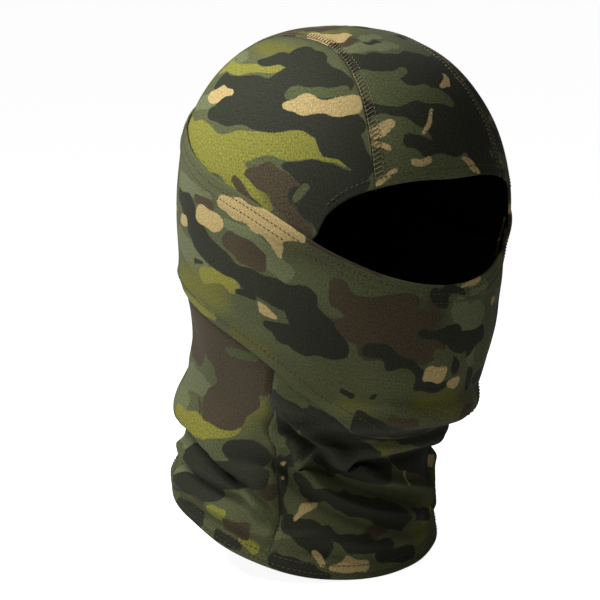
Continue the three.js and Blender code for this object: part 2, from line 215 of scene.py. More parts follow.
def skin(angle, drop, off):
    """Point at an angle and a drop, moved out along the surface's normal by off millimetres."""
    angle, drop, off = np.broadcast_arrays(angle, drop, off)
    low = np.maximum(drop, 0.0)
    around = tube_at(angle + 0.4, low) - tube_at(angle - 0.4, low)
    above = np.maximum(low - 0.6, 0.0)
    down = tube_at(angle, above + 1.2) - tube_at(angle, above)
    point, normal = tube_at(angle, low), unit(np.cross(down, around))
    high_point, high_normal = crown_at(*crown_plan(angle, np.minimum(drop, 0.0)))
    on_crown = (drop < 0)[..., None]
    return (np.where(on_crown, high_point, point)
            + np.where(on_crown, high_normal, normal) * off[..., None])


print("head under the cloth:", np.round(tube_at(np.array([0.0, 90.0, 180.0]), 20.0), 1).tolist())

# %% [markdown]
# ## Camera, floor and light
# The camera stands a little above the wearer's right cheek. It is a long lens at 1.5 m, because a
# short lens near the cloth would swell the nose. A soft lamp close by on the wearer's right does
# most of the work, so that the light falls off across the face and down the skirt. A weaker lamp in
# front keeps the folds readable. The floor is plain and pale.

# %% Camera, floor and light


def direction(azimuth, elevation):
    """Unit vector from the mask to a place seen at that azimuth (0 in front) and elevation."""
    a, e = math.radians(azimuth), math.radians(elevation)
    return np.array([math.sin(a) * math.cos(e), -math.cos(a) * math.cos(e), math.sin(e)])


def aim(obj, place, target):
    """Puts a camera or lamp at a place, looking at a target."""
    obj.location = Vector(place)
    obj.rotation_euler = (Vector(target) - obj.location).to_track_quat("-Z", "Y").to_euler()


VIEW_AZIMUTH, VIEW_ELEVATION, VIEW_DISTANCE, VIEW_LENS = -35.0, 10.0, 1.5, 169.2
MIDDLE = np.array([0.0, 0.0, -0.1475])
right = np.array([math.cos(math.radians(VIEW_AZIMUTH)), math.sin(math.radians(VIEW_AZIMUTH)), 0.0])
back = direction(VIEW_AZIMUTH, VIEW_ELEVATION)
up = np.cross(back, right)
SHIFT_LEFT, SHIFT_UP = 0.0239, 0.0033     # how far the view is moved off the middle, in metres
look_at = MIDDLE - right * SHIFT_LEFT + up * SHIFT_UP

camera_data = bpy.data.cameras.new("camera")
camera_data.lens = VIEW_LENS
camera_data.sensor_width = 36.0
camera = bpy.data.objects.new("camera", camera_data)
bpy.context.scene.collection.objects.link(camera)
aim(camera, look_at + back * VIEW_DISTANCE, look_at)
bpy.context.scene.camera = camera


LIT_MIDDLE = MIDDLE + np.array([0.0, 0.0, 0.09])
WORLD_LIGHT = 0.055
FLOOR_GLOW = 0.93                # emission of the floor, as the camera sees it


def soft_light(name, azimuth, elevation, distance, size, power_watts):
    """A square area lamp at that bearing, aimed a little above the middle of the mask."""
    data = bpy.data.lights.new(name, "AREA")
    data.size = size
    data.energy = power_watts
    lamp = bpy.data.objects.new(name, data)
    bpy.context.scene.collection.objects.link(lamp)
    aim(lamp, LIT_MIDDLE + direction(azimuth, elevation) * distance, LIT_MIDDLE)
    return lamp


soft_light("key", -110, 42, distance=0.5, size=0.3, power_watts=4.1)
soft_light("front", -25, 40, distance=1.2, size=0.5, power_watts=2.3)

world = bpy.data.worlds.new("studio")
world.use_nodes = True
world.node_tree.nodes["Background"].inputs["Color"].default_value = (1.0, 1.0, 1.0, 1.0)
world.node_tree.nodes["Background"].inputs["Strength"].default_value = WORLD_LIGHT
bpy.context.scene.world = world
bpy.context.scene.view_settings.view_transform = "Standard"


def make_floor(height, half_size):
    """A square floor, pale and matt, a little brighter to the eye than the light on it."""
    mesh = bpy.data.meshes.new("floor")
    s = half_size
    mesh.from_pydata([(-s, -s, height), (s, -s, height), (s, s, height), (-s, s, height)], [],
                     [(0, 1, 2, 3)])
    floor = bpy.data.objects.new("floor", mesh)
    bpy.context.scene.collection.objects.link(floor)
    material = bpy.data.materials.new("pale_floor")
    material.use_nodes = True
    shader = material.node_tree.nodes["Principled BSDF"]
    shader.inputs["Base Color"].default_value = (0.86, 0.86, 0.85, 1.0)
    shader.inputs["Roughness"].default_value = 0.9
    path = material.node_tree.nodes.new("ShaderNodeLightPath")
    shader.inputs["Emission Color"].default_value = (1.0, 1.0, 1.0, 1.0)
    glow = material.node_tree.nodes.new("ShaderNodeMath")
    glow.operation = "MULTIPLY"
    glow.inputs[1].default_value = FLOOR_GLOW
    material.node_tree.links.new(path.outputs["Is Camera Ray"], glow.inputs[0])
    material.node_tree.links.new(glow.outputs[0], shader.inputs["Emission Strength"])
    mesh.materials.append(material)
    return floor


make_floor(cad_box[0][2] - 0.001, 40.0)

# %% [markdown]
# ## The print
# The cloth is printed with rounded patches of eight inks on a mottled ground. An image would do, but it
# would blur up close and could not be changed. So each patch is a stroke of a round brush: a
# few places on the cloth, each with a radius. The brush's field is the radius minus the distance to
# the stroke, so it is positive inside and its zero line is the patch's edge. Every vertex keeps one
# field for each colour, and the material draws a crisp or faded edge where the field crosses zero.
# Seen sides have listed strokes; the rest is filled by the same brush with a seeded draw.

# %% The brush
LAYERS = ["sage", "lime_fade", "lime", "brown_fade", "brown", "dark", "over", "tan"]
DEGREE = 1.33                    # millimetres of cloth in one degree, at the widest line
DOME_ARC = 1.45                  # millimetres of cloth in one hundredth of the way to the crown


def brush(u, v, strokes, width_at, length):
    """Field of a union of strokes, in millimetres, positive inside. Each stroke is a list of
    (u, v, radius); width_at gives the millimetres in one degree at a height v, and length the
    millimetres in one unit of v."""
    field = np.full(np.shape(u), -40.0)
    for stroke in strokes:
        points = stroke if len(stroke) > 1 else [stroke[0], stroke[0]]
        for (u0, v0, r0), (u1, v1, r1) in zip(points[:-1], points[1:]):
            wide = width_at((v0 + v1) / 2)
            du, dv = (u - u0) * wide, (v - v0) * length
            au, av = (u1 - u0) * wide, (v1 - v0) * length
            t = np.clip((du * au + dv * av) / max(au * au + av * av, 1e-9), 0, 1)
            inside = r0 + (r1 - r0) * t - np.hypot(du - t * au, dv - t * av)
            gap = np.clip(1 - np.abs(field - inside) / 2.0, 0, 1)
            field = np.maximum(field, inside) + 0.5 * gap * gap
    return field


def ragged(u, v):
    """Moves places by up to a millimetre in slow waves, so that no patch is a true oval."""
    a, b = np.radians(u * 9.0), v * 0.19
    du = 0.45 * np.sin(a * 1.1 + b * 2.3) + 0.3 * np.sin(a * 2.9 - b * 1.7 + 1.3)
    dv = 0.7 * np.sin(a * 1.7 - b * 1.9 + 0.6) + 0.4 * np.sin(a * 3.1 + b * 2.7 + 2.1)
    return u + du, v + dv


def low_width(v):
    """Millimetres in a degree below the widest line."""
    return DEGREE


def dome_width(v):
    """Millimetres in a degree on the dome, which shrinks to nothing at its top."""
    return DEGREE * max(math.cos(math.pi / 2 * min(max(-v, 0) / 100, 1)), 0.12) ** (2 / CROWN_ROUND)


def dome_height(drop):
    """Height up the dome as a share of the way, minus a hundred at the top, from the drop."""
    q = np.clip(-drop / CROWN_HEIGHT, 0, 1)
    up_share = -200 / np.pi * np.arcsin(q ** (CROWN_ROUND / 2))
    return np.where(drop < 0, up_share, drop / DOME_ARC)


def scatter(seed, count, low, high, window):
    """Seeded strokes for the sides that nothing else decides: mostly level, two to four places long.
    Places inside the window (u from, u to) are left to the listed strokes."""
    rng = np.random.default_rng(seed)
    kinds = [("sage", 0.16, 4.5), ("lime_fade", 0.08, 6.5), ("lime", 0.09, 4.5),
             ("brown_fade", 0.08, 6.0), ("brown", 0.15, 5.5), ("dark", 0.26, 5.5),
             ("over", 0.07, 2.2), ("tan", 0.11, 2.8)]
    strokes = {name: [] for name in LAYERS}
    names = [k[0] for k in kinds]
    shares = np.array([k[1] for k in kinds])
    for _ in range(count):
        pick = rng.choice(len(names), p=shares / shares.sum())
        u, v = rng.uniform(low[0], high[0]), rng.uniform(low[1], high[1])
        tilt, places = rng.uniform(-0.35, 0.35), rng.integers(2, 5)
        radius = kinds[pick][2] * rng.uniform(0.6, 1.35)
        stroke = []
        for n in range(places):
            stroke.append((u, v, radius * rng.uniform(0.65, 1.1)))
            u += radius * rng.uniform(1.0, 1.9) / DEGREE
            v += radius * (tilt + rng.uniform(-0.5, 0.5))
        reach = radius / DEGREE
        if not any(window[0] - reach < s[0] < window[1] + reach for s in stroke):
            strokes[names[pick]].append(stroke)
    return strokes


def wrapped(strokes):
    """Strokes and the same ones a full turn back, so that those that cross the back meet."""
    return {name: kept + [[(u - 360, v, r) for u, v, r in s] for s in kept]
            for name, kept in strokes.items()}


def together(*prints):
    """Several sets of strokes as one."""
    return {name: [s for p in prints for s in p.get(name, [])] for name in LAYERS}


# %% [markdown]
# ### Strokes of each panel
# Each panel was cut from its own place on the cloth, so the print jumps at every seam. Places are
# (angle, drop, radius) below the widest line, and (angle, share of the way up, radius) on the dome.
# Under the chin, on the cover and on the neck front, some dark and faded brown strokes are painted shade
# as well as print.

# %% Strokes of the face cover
COVER_PRINT_AND_PAINTED_SHADE = {
    "sage": [
        [(-85, 1, 3.5), (-76, 6, 5.5), (-68, 15, 5.5), (-63, 23, 4)],
        [(-118, 16, 7), (-107, 22, 7.5), (-97, 29, 5)],
        [(-116, -14, 5.5), (-104, -13, 4.5), (-94, -11, 3)],
        [(3, 41, 5.5), (6, 49, 6), (15, 45, 7)], [(12, 62, 4), (15, 70, 3)], [(10, 33, 3), (18, 32, 3)],
    ],
    "lime_fade": [
        [(-116, 38, 9), (-104, 36, 9), (-93, 40, 8)], [(-40, 88, 3.5), (-34, 92, 3)],
        [(-8, 90, 5), (6, 90, 5.5)], [(-85, 58, 2), (-73, 64, 2.5)],
    ],
    "lime": [
        [(-98, 31, 4), (-88, 29, 4.5), (-84, 33, 4.2)], [(-116, 45, 3), (-104, 48, 2.6), (-94, 52, 2)],
    ],
    "brown_fade": [
        # The second faded brown stroke, a band under the chin, is painted shade.
        [(-18, 60, 8), (-10, 46, 7), (-8, 36, 4)], [(-26, 104, 6), (-6, 108, 6), (20, 106, 6)],
    ],
    "brown": [
        [(-84, 10, 5), (-78, 13, 6.5), (-73, 17, 5.5)],
        [(-45, 26, 3.6), (-44, 33, 5.5), (-38, 40, 7.5), (-28, 40, 8), (-18, 36, 5)],
        [(-47, 49, 5), (-35, 49, 10), (-23, 48, 10), (-13, 46, 6)],
        [(-34, 58, 7), (-18, 60, 7), (-6, 60, 5)],
        [(-22, 98, 3), (-12, 101, 3.4)], [(12, 100, 3), (24, 97, 3)],
        [(-53, 3, 1.7), (-42, 10.5, 2.2), (-30, 19.5, 2.0)],
        [(-100, -8, 3), (-93, -7, 3)], [(-8, 64, 2.4), (-12, 66, 2)],
    ],
    "dark": [
        [(-116, -7, 4.5), (-107, -3, 6), (-103, 6, 7), (-98, 14, 7), (-90, 20, 5.5), (-84, 24, 4)],
        [(-86, 24, 3.5), (-76, 28, 5.5), (-66, 33, 7), (-58, 36, 7), (-56, 46, 8.5),
         (-52, 55, 9.5), (-47, 60, 6.5)],
        [(-71, 51, 2.4), (-64, 54, 5), (-57, 58, 7)], [(-81, 35, 2.2), (-76, 36, 1.8)],
        [(-35, 60, 3), (-29, 61, 4.6), (-26, 66, 4), (-17, 68, 2.6)],
        [(-104, 26, 1.5), (-99, 24.5, 1.1)], [(-43, 82, 1.8), (-39, 85, 2)], [(-30, 85, 1.8)],
        [(-9, 32, 2.8), (-5, 36, 3.4), (-2, 30, 2.6), (4, 33, 2)],
        [(-13, 52, 2.6), (-2, 54, 3.6), (2, 52, 3)],
        [(2, 58, 4.4), (10, 60, 6), (18, 56, 5)],
        [(-15, 71, 2.6), (-11, 79, 2.8), (-2, 82, 3.4), (3, 79, 2.4)],
        # The first stroke here, a dark strip along the chin, is painted shade over dark patches of
        # print.
        [(-36, 98, 3.6), (-26, 104, 4.4), (-8, 107, 4.4), (10, 108, 4.4)], [(16, 76, 3), (19, 84, 3)],
        [(1, 68, 3), (5, 72, 3)], [(-80, -12, 0.9), (-78.5, -8, 0.9)],
    ],
    "over": [[(-6, 63, 2.4), (-1, 66, 3), (0, 71, 2)], [(8, 66, 2.4)]],
    "tan": [
        [(-97.5, -0.6, 4.7), (-91, 1.2, 4.7)], [(-113, 5.2, 2.9), (-109, 5.2, 2.7)],
        [(-87, -10, 3), (-80, -8, 5), (-70, -3.5, 6.2), (-62, 0, 5.5), (-56, 3, 2.6)],
        [(-66, 3, 4.6), (-64.8, 9, 2.6), (-64.3, 14, 1.1)],
        [(-74, 39, 1.3), (-72, 43, 2.7), (-68, 45, 2)],
        [(-8.5, 73.5, 4.6), (-3, 74.6, 4.8)], [(4.2, 79.5, 2.9), (7, 80, 2.9)],
        [(4, 29.5, 1.2), (14, 27.5, 1.2)],
    ],
}

# %% Strokes of the neck panels
NECK_SIDE_PRINT = {
    "sage": [
        [(-134, 92, 6), (-120, 95, 8), (-107, 96, 5.5), (-99, 97, 2.4)],
        [(-132, 108, 9), (-117, 111, 6)],
        [(-130, 130, 5), (-112, 130, 4), (-102, 133, 2)], [(-112, 146, 3.2), (-99, 147, 2.8)],
    ],
    "lime_fade": [[(-84, 84, 5), (-77, 98, 6), (-78, 108, 4)]],
    "lime": [
        [(-120, 114, 3.2), (-106, 117, 4.4), (-93, 118, 5), (-82, 114, 2.8)],
        [(-77, 159, 2.6), (-69, 161, 3.2)], [(-59, 172, 3), (-54, 176, 3.4)],
    ],
    "brown_fade": [[(-70, 124, 5), (-60, 130, 5)]],
    "brown": [
        [(-116, 56, 9), (-102, 64, 14), (-88, 76, 15), (-86, 94, 13), (-96, 104, 10), (-84, 108, 7)],
        [(-76, 66, 8), (-74, 84, 7)], [(-128, 70, 10), (-114, 76, 10)],
        [(-107, 104, 1.4), (-104, 111, 1.4)],
        [(-58, 142, 4), (-48, 146, 4.5)], [(-90, 153, 2.5), (-82, 156, 2.5)],
        [(-68, 165, 3), (-58, 168, 4)],
    ],
    "dark": [
        [(-106, 132, 4), (-92, 138, 6), (-80, 141, 7), (-64, 138, 8), (-54, 140, 5)],
        [(-80, 123, 5), (-70, 126, 7), (-60, 130, 6)], [(-108, 152, 4.5), (-92, 149, 6), (-76, 150, 5)],
        [(-98, 161, 3.6), (-84, 166, 3.6)], [(-72, 172, 3), (-62, 176, 3)],
    ],
    "over": [[(-90, 71, 2.6), (-80, 70, 3.4)]],
    "tan": [],
}
NECK_FRONT_PRINT_AND_PAINTED_SHADE = {
    "sage": [],
    "lime_fade": [[(24, 178, 6), (38, 170, 6)], [(-14, 120, 4), (0, 128, 4)]],
    "lime": [[(30, 172, 3), (39, 168, 3)]],
    # The first faded brown stroke, a band under the chin, is painted shade.
    "brown_fade": [[(-30, 100, 8), (0, 108, 8), (24, 112, 8)], [(30, 140, 6), (40, 150, 6)]],
    "brown": [[(-8, 175, 4), (6, 168, 3)]],
    # The two wide strokes under the chin are painted shade as well as print. The dark strokes lower down
    # are print, laid thick so the front of the neck is also darkened as painted shade.
    "dark": [
        [(-70, 92, 5), (-58, 102, 10), (-44, 111, 11), (-30, 120, 11), (-14, 130, 10), (2, 136, 8)],
        [(-40, 96, 8), (-20, 104, 8), (0, 110, 8), (24, 116, 9), (44, 122, 8)],
        [(-54, 120, 5), (-48, 132, 6), (-46, 147, 5), (-42, 156, 3)],
        [(14, 130, 8), (30, 136, 9), (46, 144, 9)],
        [(-38, 163, 5), (-29, 168, 7.5), (-24, 176, 6)], [(2, 165, 3), (14, 169, 3.6)],
        [(-44, 182, 4.5), (-30, 188, 4), (-22, 192, 2)], [(2, 184, 4), (18, 186, 4)],
        [(-14, 172, 3), (-4, 174, 3)],
        [(-26, 145, 4), (-10, 155, 5.5), (10, 162, 5)], [(-38, 138, 3.4), (-27, 150, 4)],
        [(22, 166, 4), (36, 170, 3.4)],
        [(-22, 166, 3), (-10, 178, 3.4), (4, 178, 3)],
    ],
    "over": [[(-66, 86, 4), (-58, 92, 3.4)], [(-67, 108, 2), (-62, 115, 2.8), (-54, 122, 2)],
             [(-56, 104, 1.4), (-51, 110, 1.8)],
             [(-38, 130, 2.4), (-20, 140, 3), (0, 149, 3.4), (20, 156, 4)],
             [(16, 146, 2.4), (14, 152, 2.4)], [(-4, 122, 3), (6, 128, 3)]],
    "tan": [
        [(-35, 160, 1.4), (-33, 154.5, 1.9), (-26, 153.5, 1)], [(-27, 178, 2.2), (-23.5, 184, 2.2)],
        [(-19, 187, 2.2), (-12, 186, 3.2), (-5, 188, 2.4)], [(18, 141, 1), (15, 147, 1)],
        [(-49, 128, 1.6), (-47, 131, 1.4)], [(-45.5, 139, 1.2)],
    ],
}

# %% Strokes of the crown panels
SIDE_PRINT = {
    "sage": [[(-122, -36, 4.5), (-106, -38, 4.5), (-95, -40, 2.4)], [(-120, -62, 5), (-112, -60, 4)]],
    "lime_fade": [[(-114, -70, 6), (-96, -69, 6), (-82, -70, 4)]],
    "lime": [
        [(-122, -25, 7), (-105, -23, 9), (-91, -20, 9.5), (-84, -15, 7), (-78, -10, 5.5), (-70, -6, 4)],
        [(-88, -23, 7), (-72, -25.6, 7), (-58, -26, 7), (-49, -23, 4), (-41, -20.5, 1.8)],
        [(-122, -54, 5), (-102, -55, 3.8), (-86, -57, 2.8), (-71, -58.5, 2.8)],
        [(-50, -6, 2.4), (-47, -6.5, 2.2)],
        [(-124, -10, 9), (-108, -12, 8)],
    ],
    "brown_fade": [[(-66, -10, 5), (-56, -5, 6)]],
    "brown": [[(-77, -15, 3.4), (-69, -14, 6), (-60, -11, 5)],
              [(-66, -8, 3), (-58, -4, 4), (-54, 0, 3)],
              [(-84, -12, 2), (-78, -7, 2.6), (-72, -3, 2.4)]],
    "dark": [
        [(-110, -47, 6), (-96, -44, 12), (-80, -43, 14), (-66, -40, 12), (-52, -38, 11),
         (-42, -34, 11)],
        [(-104, -34, 4), (-88, -36, 8), (-74, -35, 7), (-60, -34, 5)],
        [(-44, -28, 10), (-38, -25, 7), (-34, -20, 5)],
        [(-70, -52, 9), (-58, -56, 11), (-46, -52, 10)],
        [(-92, -61, 3.6), (-82, -63, 5.4), (-68, -62, 7)],
        [(-72, -69, 5), (-60, -66, 6)], [(-62, -18.5, 3), (-52, -16, 7), (-42, -12, 9), (-36, -14, 6)],
        [(-58, -9, 4), (-50, -7, 7), (-46, -1, 6)],
    ],
    "over": [[(-66, -46.5, 3.4), (-52, -47.4, 3.4), (-41, -48, 3)], [(-58, -8, 2), (-55, -12, 2)]],
    "tan": [[(-64, -41.5, 4.2), (-58, -42, 5.2), (-51, -40.6, 4.2), (-43, -41, 6), (-37, -42.5, 5.4)],
            [(-113, -40.5, 3.5), (-105, -41.5, 4.8), (-98, -43, 3)]],
}
CENTRE_PRINT = {
    "sage": [[(-46, -70, 2.4), (-34, -72, 4), (-20, -74, 5), (0, -74, 5)],
             [(-20, -81, 3.4), (0, -83, 3.4)]],
    "lime_fade": [[(-90, -86, 5), (-66, -86, 5), (-40, -90, 4)]],
    "lime": [],
    "brown_fade": [[(-45, -64, 6), (-20, -62, 6), (4, -61, 6)], [(14, -15, 5), (24, -14, 5)]],
    "brown": [[(-56, -73, 2.6), (-43, -76, 3.6), (-30, -80, 3)]],
    "dark": [
        [(-50, -65, 5), (-34, -63.5, 7.5), (-14, -63, 8), (8, -62, 9), (24, -58, 10)],
        [(-20, -77, 1.6), (-8, -77, 2)],
        [(-6, -54, 4), (6, -54, 7), (16, -46, 12), (22, -36, 16), (26, -24, 16), (13, -30, 11),
         (16, -18, 8)],
        [(-40, -50, 5), (-38, -42, 6), (-30, -40, 4), (-20, -40.5, 4), (-12, -40, 5), (-2, -36, 8),
         (2, -28, 8)],
        [(-38, -34, 5), (-36, -26, 3), (-34, -19, 2)], [(-15, -28, 3.4), (-8, -25, 3.6), (2, -24, 4)],
        [(4, -41, 4), (10, -38, 6)],
    ],
    "over": [
        [(-34, -55, 2.4), (-22, -55, 4), (-8, -57, 3)],
        [(-30, -48, 4.4), (-22, -46, 6), (-10, -46, 4.6), (3, -45, 4.6), (9, -42.5, 3)], [(24, -20, 2)],
    ],
    "tan": [
        [(-80, -84, 4), (-64, -78, 6), (-50, -82, 6), (-38, -85, 3.5)],
        [(10, -48, 1.9), (14, -50, 2), (18.5, -53, 1.7)],
        [(-9, -30, 1), (-1, -39, 1)], [(-29, -31.5, 3.2), (-22, -34, 2.8)],
        [(-28.5, -27, 2), (-25, -26, 2)],
        [(-14, -21, 1.7), (-8.5, -21.3, 1.7)], [(-29.5, -14.5, 1.8), (-22, -17, 1.3)],
        [(5, -20.5, 1.3), (9, -18, 2.2), (12, -15.5, 1.6)],
    ],
}
print("strokes set by hand:", sum(len(s) for p in (COVER_PRINT_AND_PAINTED_SHADE, NECK_SIDE_PRINT, NECK_FRONT_PRINT_AND_PAINTED_SHADE,
                                                    SIDE_PRINT, CENTRE_PRINT) for s in p.values()))

# %% [markdown]
# ## Materials
# The cloth needs three effects: the print, the knit, a fine bump that catches the light, and a slow
# change of tone, because a worn print is never quite even. The knit also scales the colour, darker in
# its low places and lighter on its high ones: painted shade and painted highlight. The print, with the
# slow tone in its ground, and the knit are node groups with their own inputs, so the printed face and
# its reverse share the knit. The shader itself stays in the material. The reverse of the cloth is
# painted almost black, as painted shade: that is how dark the inside of the mask looks.

# %% Node groups


def new_group(name, inputs, outputs):
    """A shader node group, from inputs (name, type, default) and outputs (name, type)."""
    group = bpy.data.node_groups.new(name, "ShaderNodeTree")
    for label, kind, default in inputs:
        socket = group.interface.new_socket(name=label, in_out="INPUT", socket_type=kind)
        if default is not None:
            socket.default_value = default
    for label, kind in outputs:
        group.interface.new_socket(name=label, in_out="OUTPUT", socket_type=kind)
    return group, group.nodes.new("NodeGroupInput"), group.nodes.new("NodeGroupOutput")


def math_node(tree, operation, a, b=None):
    """A Math node whose two inputs are sockets or plain numbers."""
    node = tree.nodes.new("ShaderNodeMath")
    node.operation = operation
    for socket, value in zip(node.inputs, (a, b)):
        if value is None:
            continue
        if isinstance(value, (int, float)):
            socket.default_value = value
        else:
            tree.links.new(value, socket)
    return node.outputs[0]


def mix_colour(tree, factor, a, b):
    """Mix of two colours, each a socket or a plain colour."""
    node = tree.nodes.new("ShaderNodeMix")
    node.data_type = "RGBA"
    for socket, value in zip((node.inputs[0], node.inputs[6], node.inputs[7]), (factor, a, b)):
        if isinstance(value, (int, float)):
            socket.default_value = value
        elif isinstance(value, tuple):
            socket.default_value = (*value, 1.0)
        else:
            tree.links.new(value, socket)
    return node.outputs[2]


def noise(tree, vector, scale, detail=2.0):
    """Noise between 0 and 1 on a vector, at a scale per metre."""
    node = tree.nodes.new("ShaderNodeTexNoise")
    node.inputs["Scale"].default_value = scale
    node.inputs["Detail"].default_value = detail
    tree.links.new(vector, node.inputs["Vector"])
    return node.outputs["Fac"]


def srgb(r, g, b):
    """A colour as seen on a screen, 0 to 255, as the linear colour that a shader takes."""
    values = [c / 255 for c in (r, g, b)]
    return tuple(c / 12.92 if c <= 0.04045 else ((c + 0.055) / 1.055) ** 2.4 for c in values)


GROUND = (srgb(72, 76, 48), srgb(88, 91, 62))
INKS = {"sage": srgb(98, 104, 72), "lime_fade": srgb(98, 97, 42), "lime": srgb(122, 120, 50),
        "brown_fade": srgb(62, 55, 40), "brown": srgb(68, 59, 43), "dark": srgb(42, 44, 33),
        "over": srgb(76, 82, 52), "tan": srgb(170, 149, 100)}
FADES = {"lime_fade": 7.0, "brown_fade": 7.0}
CRISP = 0.35                     # half the width of a printed edge, in millimetres
EDGE_SHAKE = 1.3                 # how far noise moves a printed edge, in millimetres
LOOP_HEIGHT, SPECK_HEIGHT = 0.12, 1.9
MEAN_HEIGHT = SPECK_HEIGHT / 2   # painted highlight on the knit above this height, painted shade below it


def print_group():
    """Paints the inks over each other. An ink covers where its field, shaken by fine noise, is
    above zero; its edge is a smooth step, narrow for a crisp ink and wide for a faded one."""
    inputs = [(name, "NodeSocketFloat", -40.0) for name in LAYERS]
    inputs.append(("Place", "NodeSocketVector", None))
    group, start, end = new_group("camouflage_print", inputs, [("Color", "NodeSocketColor")])
    place = start.outputs["Place"]
    centred = math_node(group, "SUBTRACT", noise(group, place, 900.0), 0.5)
    shake = math_node(group, "MULTIPLY", centred, EDGE_SHAKE)
    slow = noise(group, place, 28.0, 3.0)
    colour = mix_colour(group, slow, *GROUND)
    for name in LAYERS:
        width = FADES.get(name, CRISP)
        step_node = group.nodes.new("ShaderNodeMapRange")
        step_node.interpolation_type = "SMOOTHSTEP"
        step_node.inputs["From Min"].default_value = -width
        step_node.inputs["From Max"].default_value = width
        shaken = math_node(group, "ADD", start.outputs[name], shake)
        group.links.new(shaken, step_node.inputs["Value"])
        colour = mix_colour(group, step_node.outputs["Result"], colour, INKS[name])
    group.links.new(colour, end.inputs["Color"])
    return group


def knit_bump_and_painted_shade_group():
    """Fine knit: faint rows of loops, as the product of two crossed waves, and stronger fine specks.
    Height is for a bump. Shade is one, plus Depth times how far the height is above its mean: it
    multiplies the colour, as painted shade in the knit's low places and painted highlight on its high
    ones."""
    inputs = [("Place", "NodeSocketVector", None), ("Pitch", "NodeSocketFloat", 1.25),
              ("Depth", "NodeSocketFloat", 0.25)]
    outputs = [("Height", "NodeSocketFloat"), ("Shade", "NodeSocketFloat")]
    group, start, end = new_group("knit", inputs, outputs)
    parts = group.nodes.new("ShaderNodeSeparateXYZ")
    group.links.new(start.outputs["Place"], parts.inputs[0])
    turn = math_node(group, "DIVIDE", 2000 * math.pi, start.outputs["Pitch"])
    u = math_node(group, "MULTIPLY", parts.outputs["X"], turn)
    v = math_node(group, "MULTIPLY", math_node(group, "MULTIPLY", parts.outputs["Y"], turn), 0.62)
    wave_a = math_node(group, "SINE", math_node(group, "ADD", u, v))
    wave_b = math_node(group, "SINE", math_node(group, "SUBTRACT", u, v))
    loops = math_node(group, "MULTIPLY", wave_a, wave_b)
    speck = noise(group, start.outputs["Place"], 1100.0, 2.0)
    low_loops = math_node(group, "MULTIPLY", loops, LOOP_HEIGHT)
    high_specks = math_node(group, "MULTIPLY", speck, SPECK_HEIGHT)
    height = math_node(group, "ADD", low_loops, high_specks)
    group.links.new(height, end.inputs["Height"])
    above_mean = math_node(group, "SUBTRACT", height, MEAN_HEIGHT)
    shade = math_node(group, "MULTIPLY", above_mean, start.outputs["Depth"])
    group.links.new(math_node(group, "ADD", shade, 1.0), end.inputs["Shade"])
    return group


PRINT_GROUP = print_group()
KNIT_BUMP_AND_PAINTED_SHADE_GROUP = knit_bump_and_painted_shade_group()


def place_group(tree, group, **values):
    """Puts a group in a material and sets its inputs: sockets are linked, numbers are set."""
    node = tree.nodes.new("ShaderNodeGroup")
    node.node_tree = group
    for label, value in values.items():
        if isinstance(value, (int, float)):
            node.inputs[label].default_value = value
        else:
            tree.links.new(value, node.inputs[label])
    return node


def scaled_colour(tree, colour, shade):
    """A colour multiplied by a shade near one."""
    node = tree.nodes.new("ShaderNodeVectorMath")
    node.operation = "SCALE"
    tree.links.new(colour, node.inputs[0])
    tree.links.new(shade, node.inputs["Scale"])
    return node.outputs[0]


def cloth_place(tree):
    """The piece's own cloth coordinates, in metres along and down the cloth."""
    node = tree.nodes.new("ShaderNodeUVMap")
    node.uv_map = "cloth"
    return node.outputs["UV"]


def bumped(tree, shader, height, strength, distance):
    """Feeds a height into the shader's normal."""
    bump = tree.nodes.new("ShaderNodeBump")
    bump.inputs["Strength"].default_value = strength
    bump.inputs["Distance"].default_value = distance
    tree.links.new(height, bump.inputs["Height"])
    tree.links.new(bump.outputs["Normal"], shader.inputs["Normal"])


# %% Materials


def printed_cloth():
    """The printed face of the cloth."""
    material = bpy.data.materials.new("printed_cloth")
    material.use_nodes = True
    tree = material.node_tree
    shader = tree.nodes["Principled BSDF"]
    place = cloth_place(tree)
    fields = {}
    for name in LAYERS:
        node = tree.nodes.new("ShaderNodeAttribute")
        node.attribute_name = "ink_" + name
        fields[name] = node.outputs["Fac"]
    inks = place_group(tree, PRINT_GROUP, Place=place, **fields)
    knit = place_group(tree, KNIT_BUMP_AND_PAINTED_SHADE_GROUP, Place=place, Pitch=1.25, Depth=1.0)
    # The print times the knit's Shade: painted shade and highlight of the knit.
    colour = scaled_colour(tree, inks.outputs["Color"], knit.outputs["Shade"])
    tree.links.new(colour, shader.inputs["Base Color"])
    bumped(tree, shader, knit.outputs["Height"], 0.4, 0.0003)
    shader.inputs["Roughness"].default_value = 0.78
    shader.inputs["Specular IOR Level"].default_value = 0.12
    shader.inputs["Sheen Weight"].default_value = 0.05
    shader.inputs["Sheen Roughness"].default_value = 0.45
    return material


def plain_cloth(name, colour, pitch):
    """Unprinted knit in one dark colour, changed slowly over the cloth, with a little of the knit's
    painted shade and highlight. As the reverse it is painted shade: the inside of the mask made almost
    black.
    """
    material = bpy.data.materials.new(name)
    material.use_nodes = True
    tree = material.node_tree
    shader = tree.nodes["Principled BSDF"]
    place = cloth_place(tree)
    knit = place_group(tree, KNIT_BUMP_AND_PAINTED_SHADE_GROUP, Place=place, Pitch=pitch, Depth=0.3)
    tone = mix_colour(tree, noise(tree, place, 40.0), colour, tuple(c * 1.6 for c in colour))
    tree.links.new(scaled_colour(tree, tone, knit.outputs["Shade"]), shader.inputs["Base Color"])
    bumped(tree, shader, knit.outputs["Height"], 0.4, 0.0004)
    shader.inputs["Roughness"].default_value = 0.9
    shader.inputs["Specular IOR Level"].default_value = 0.1
    return material


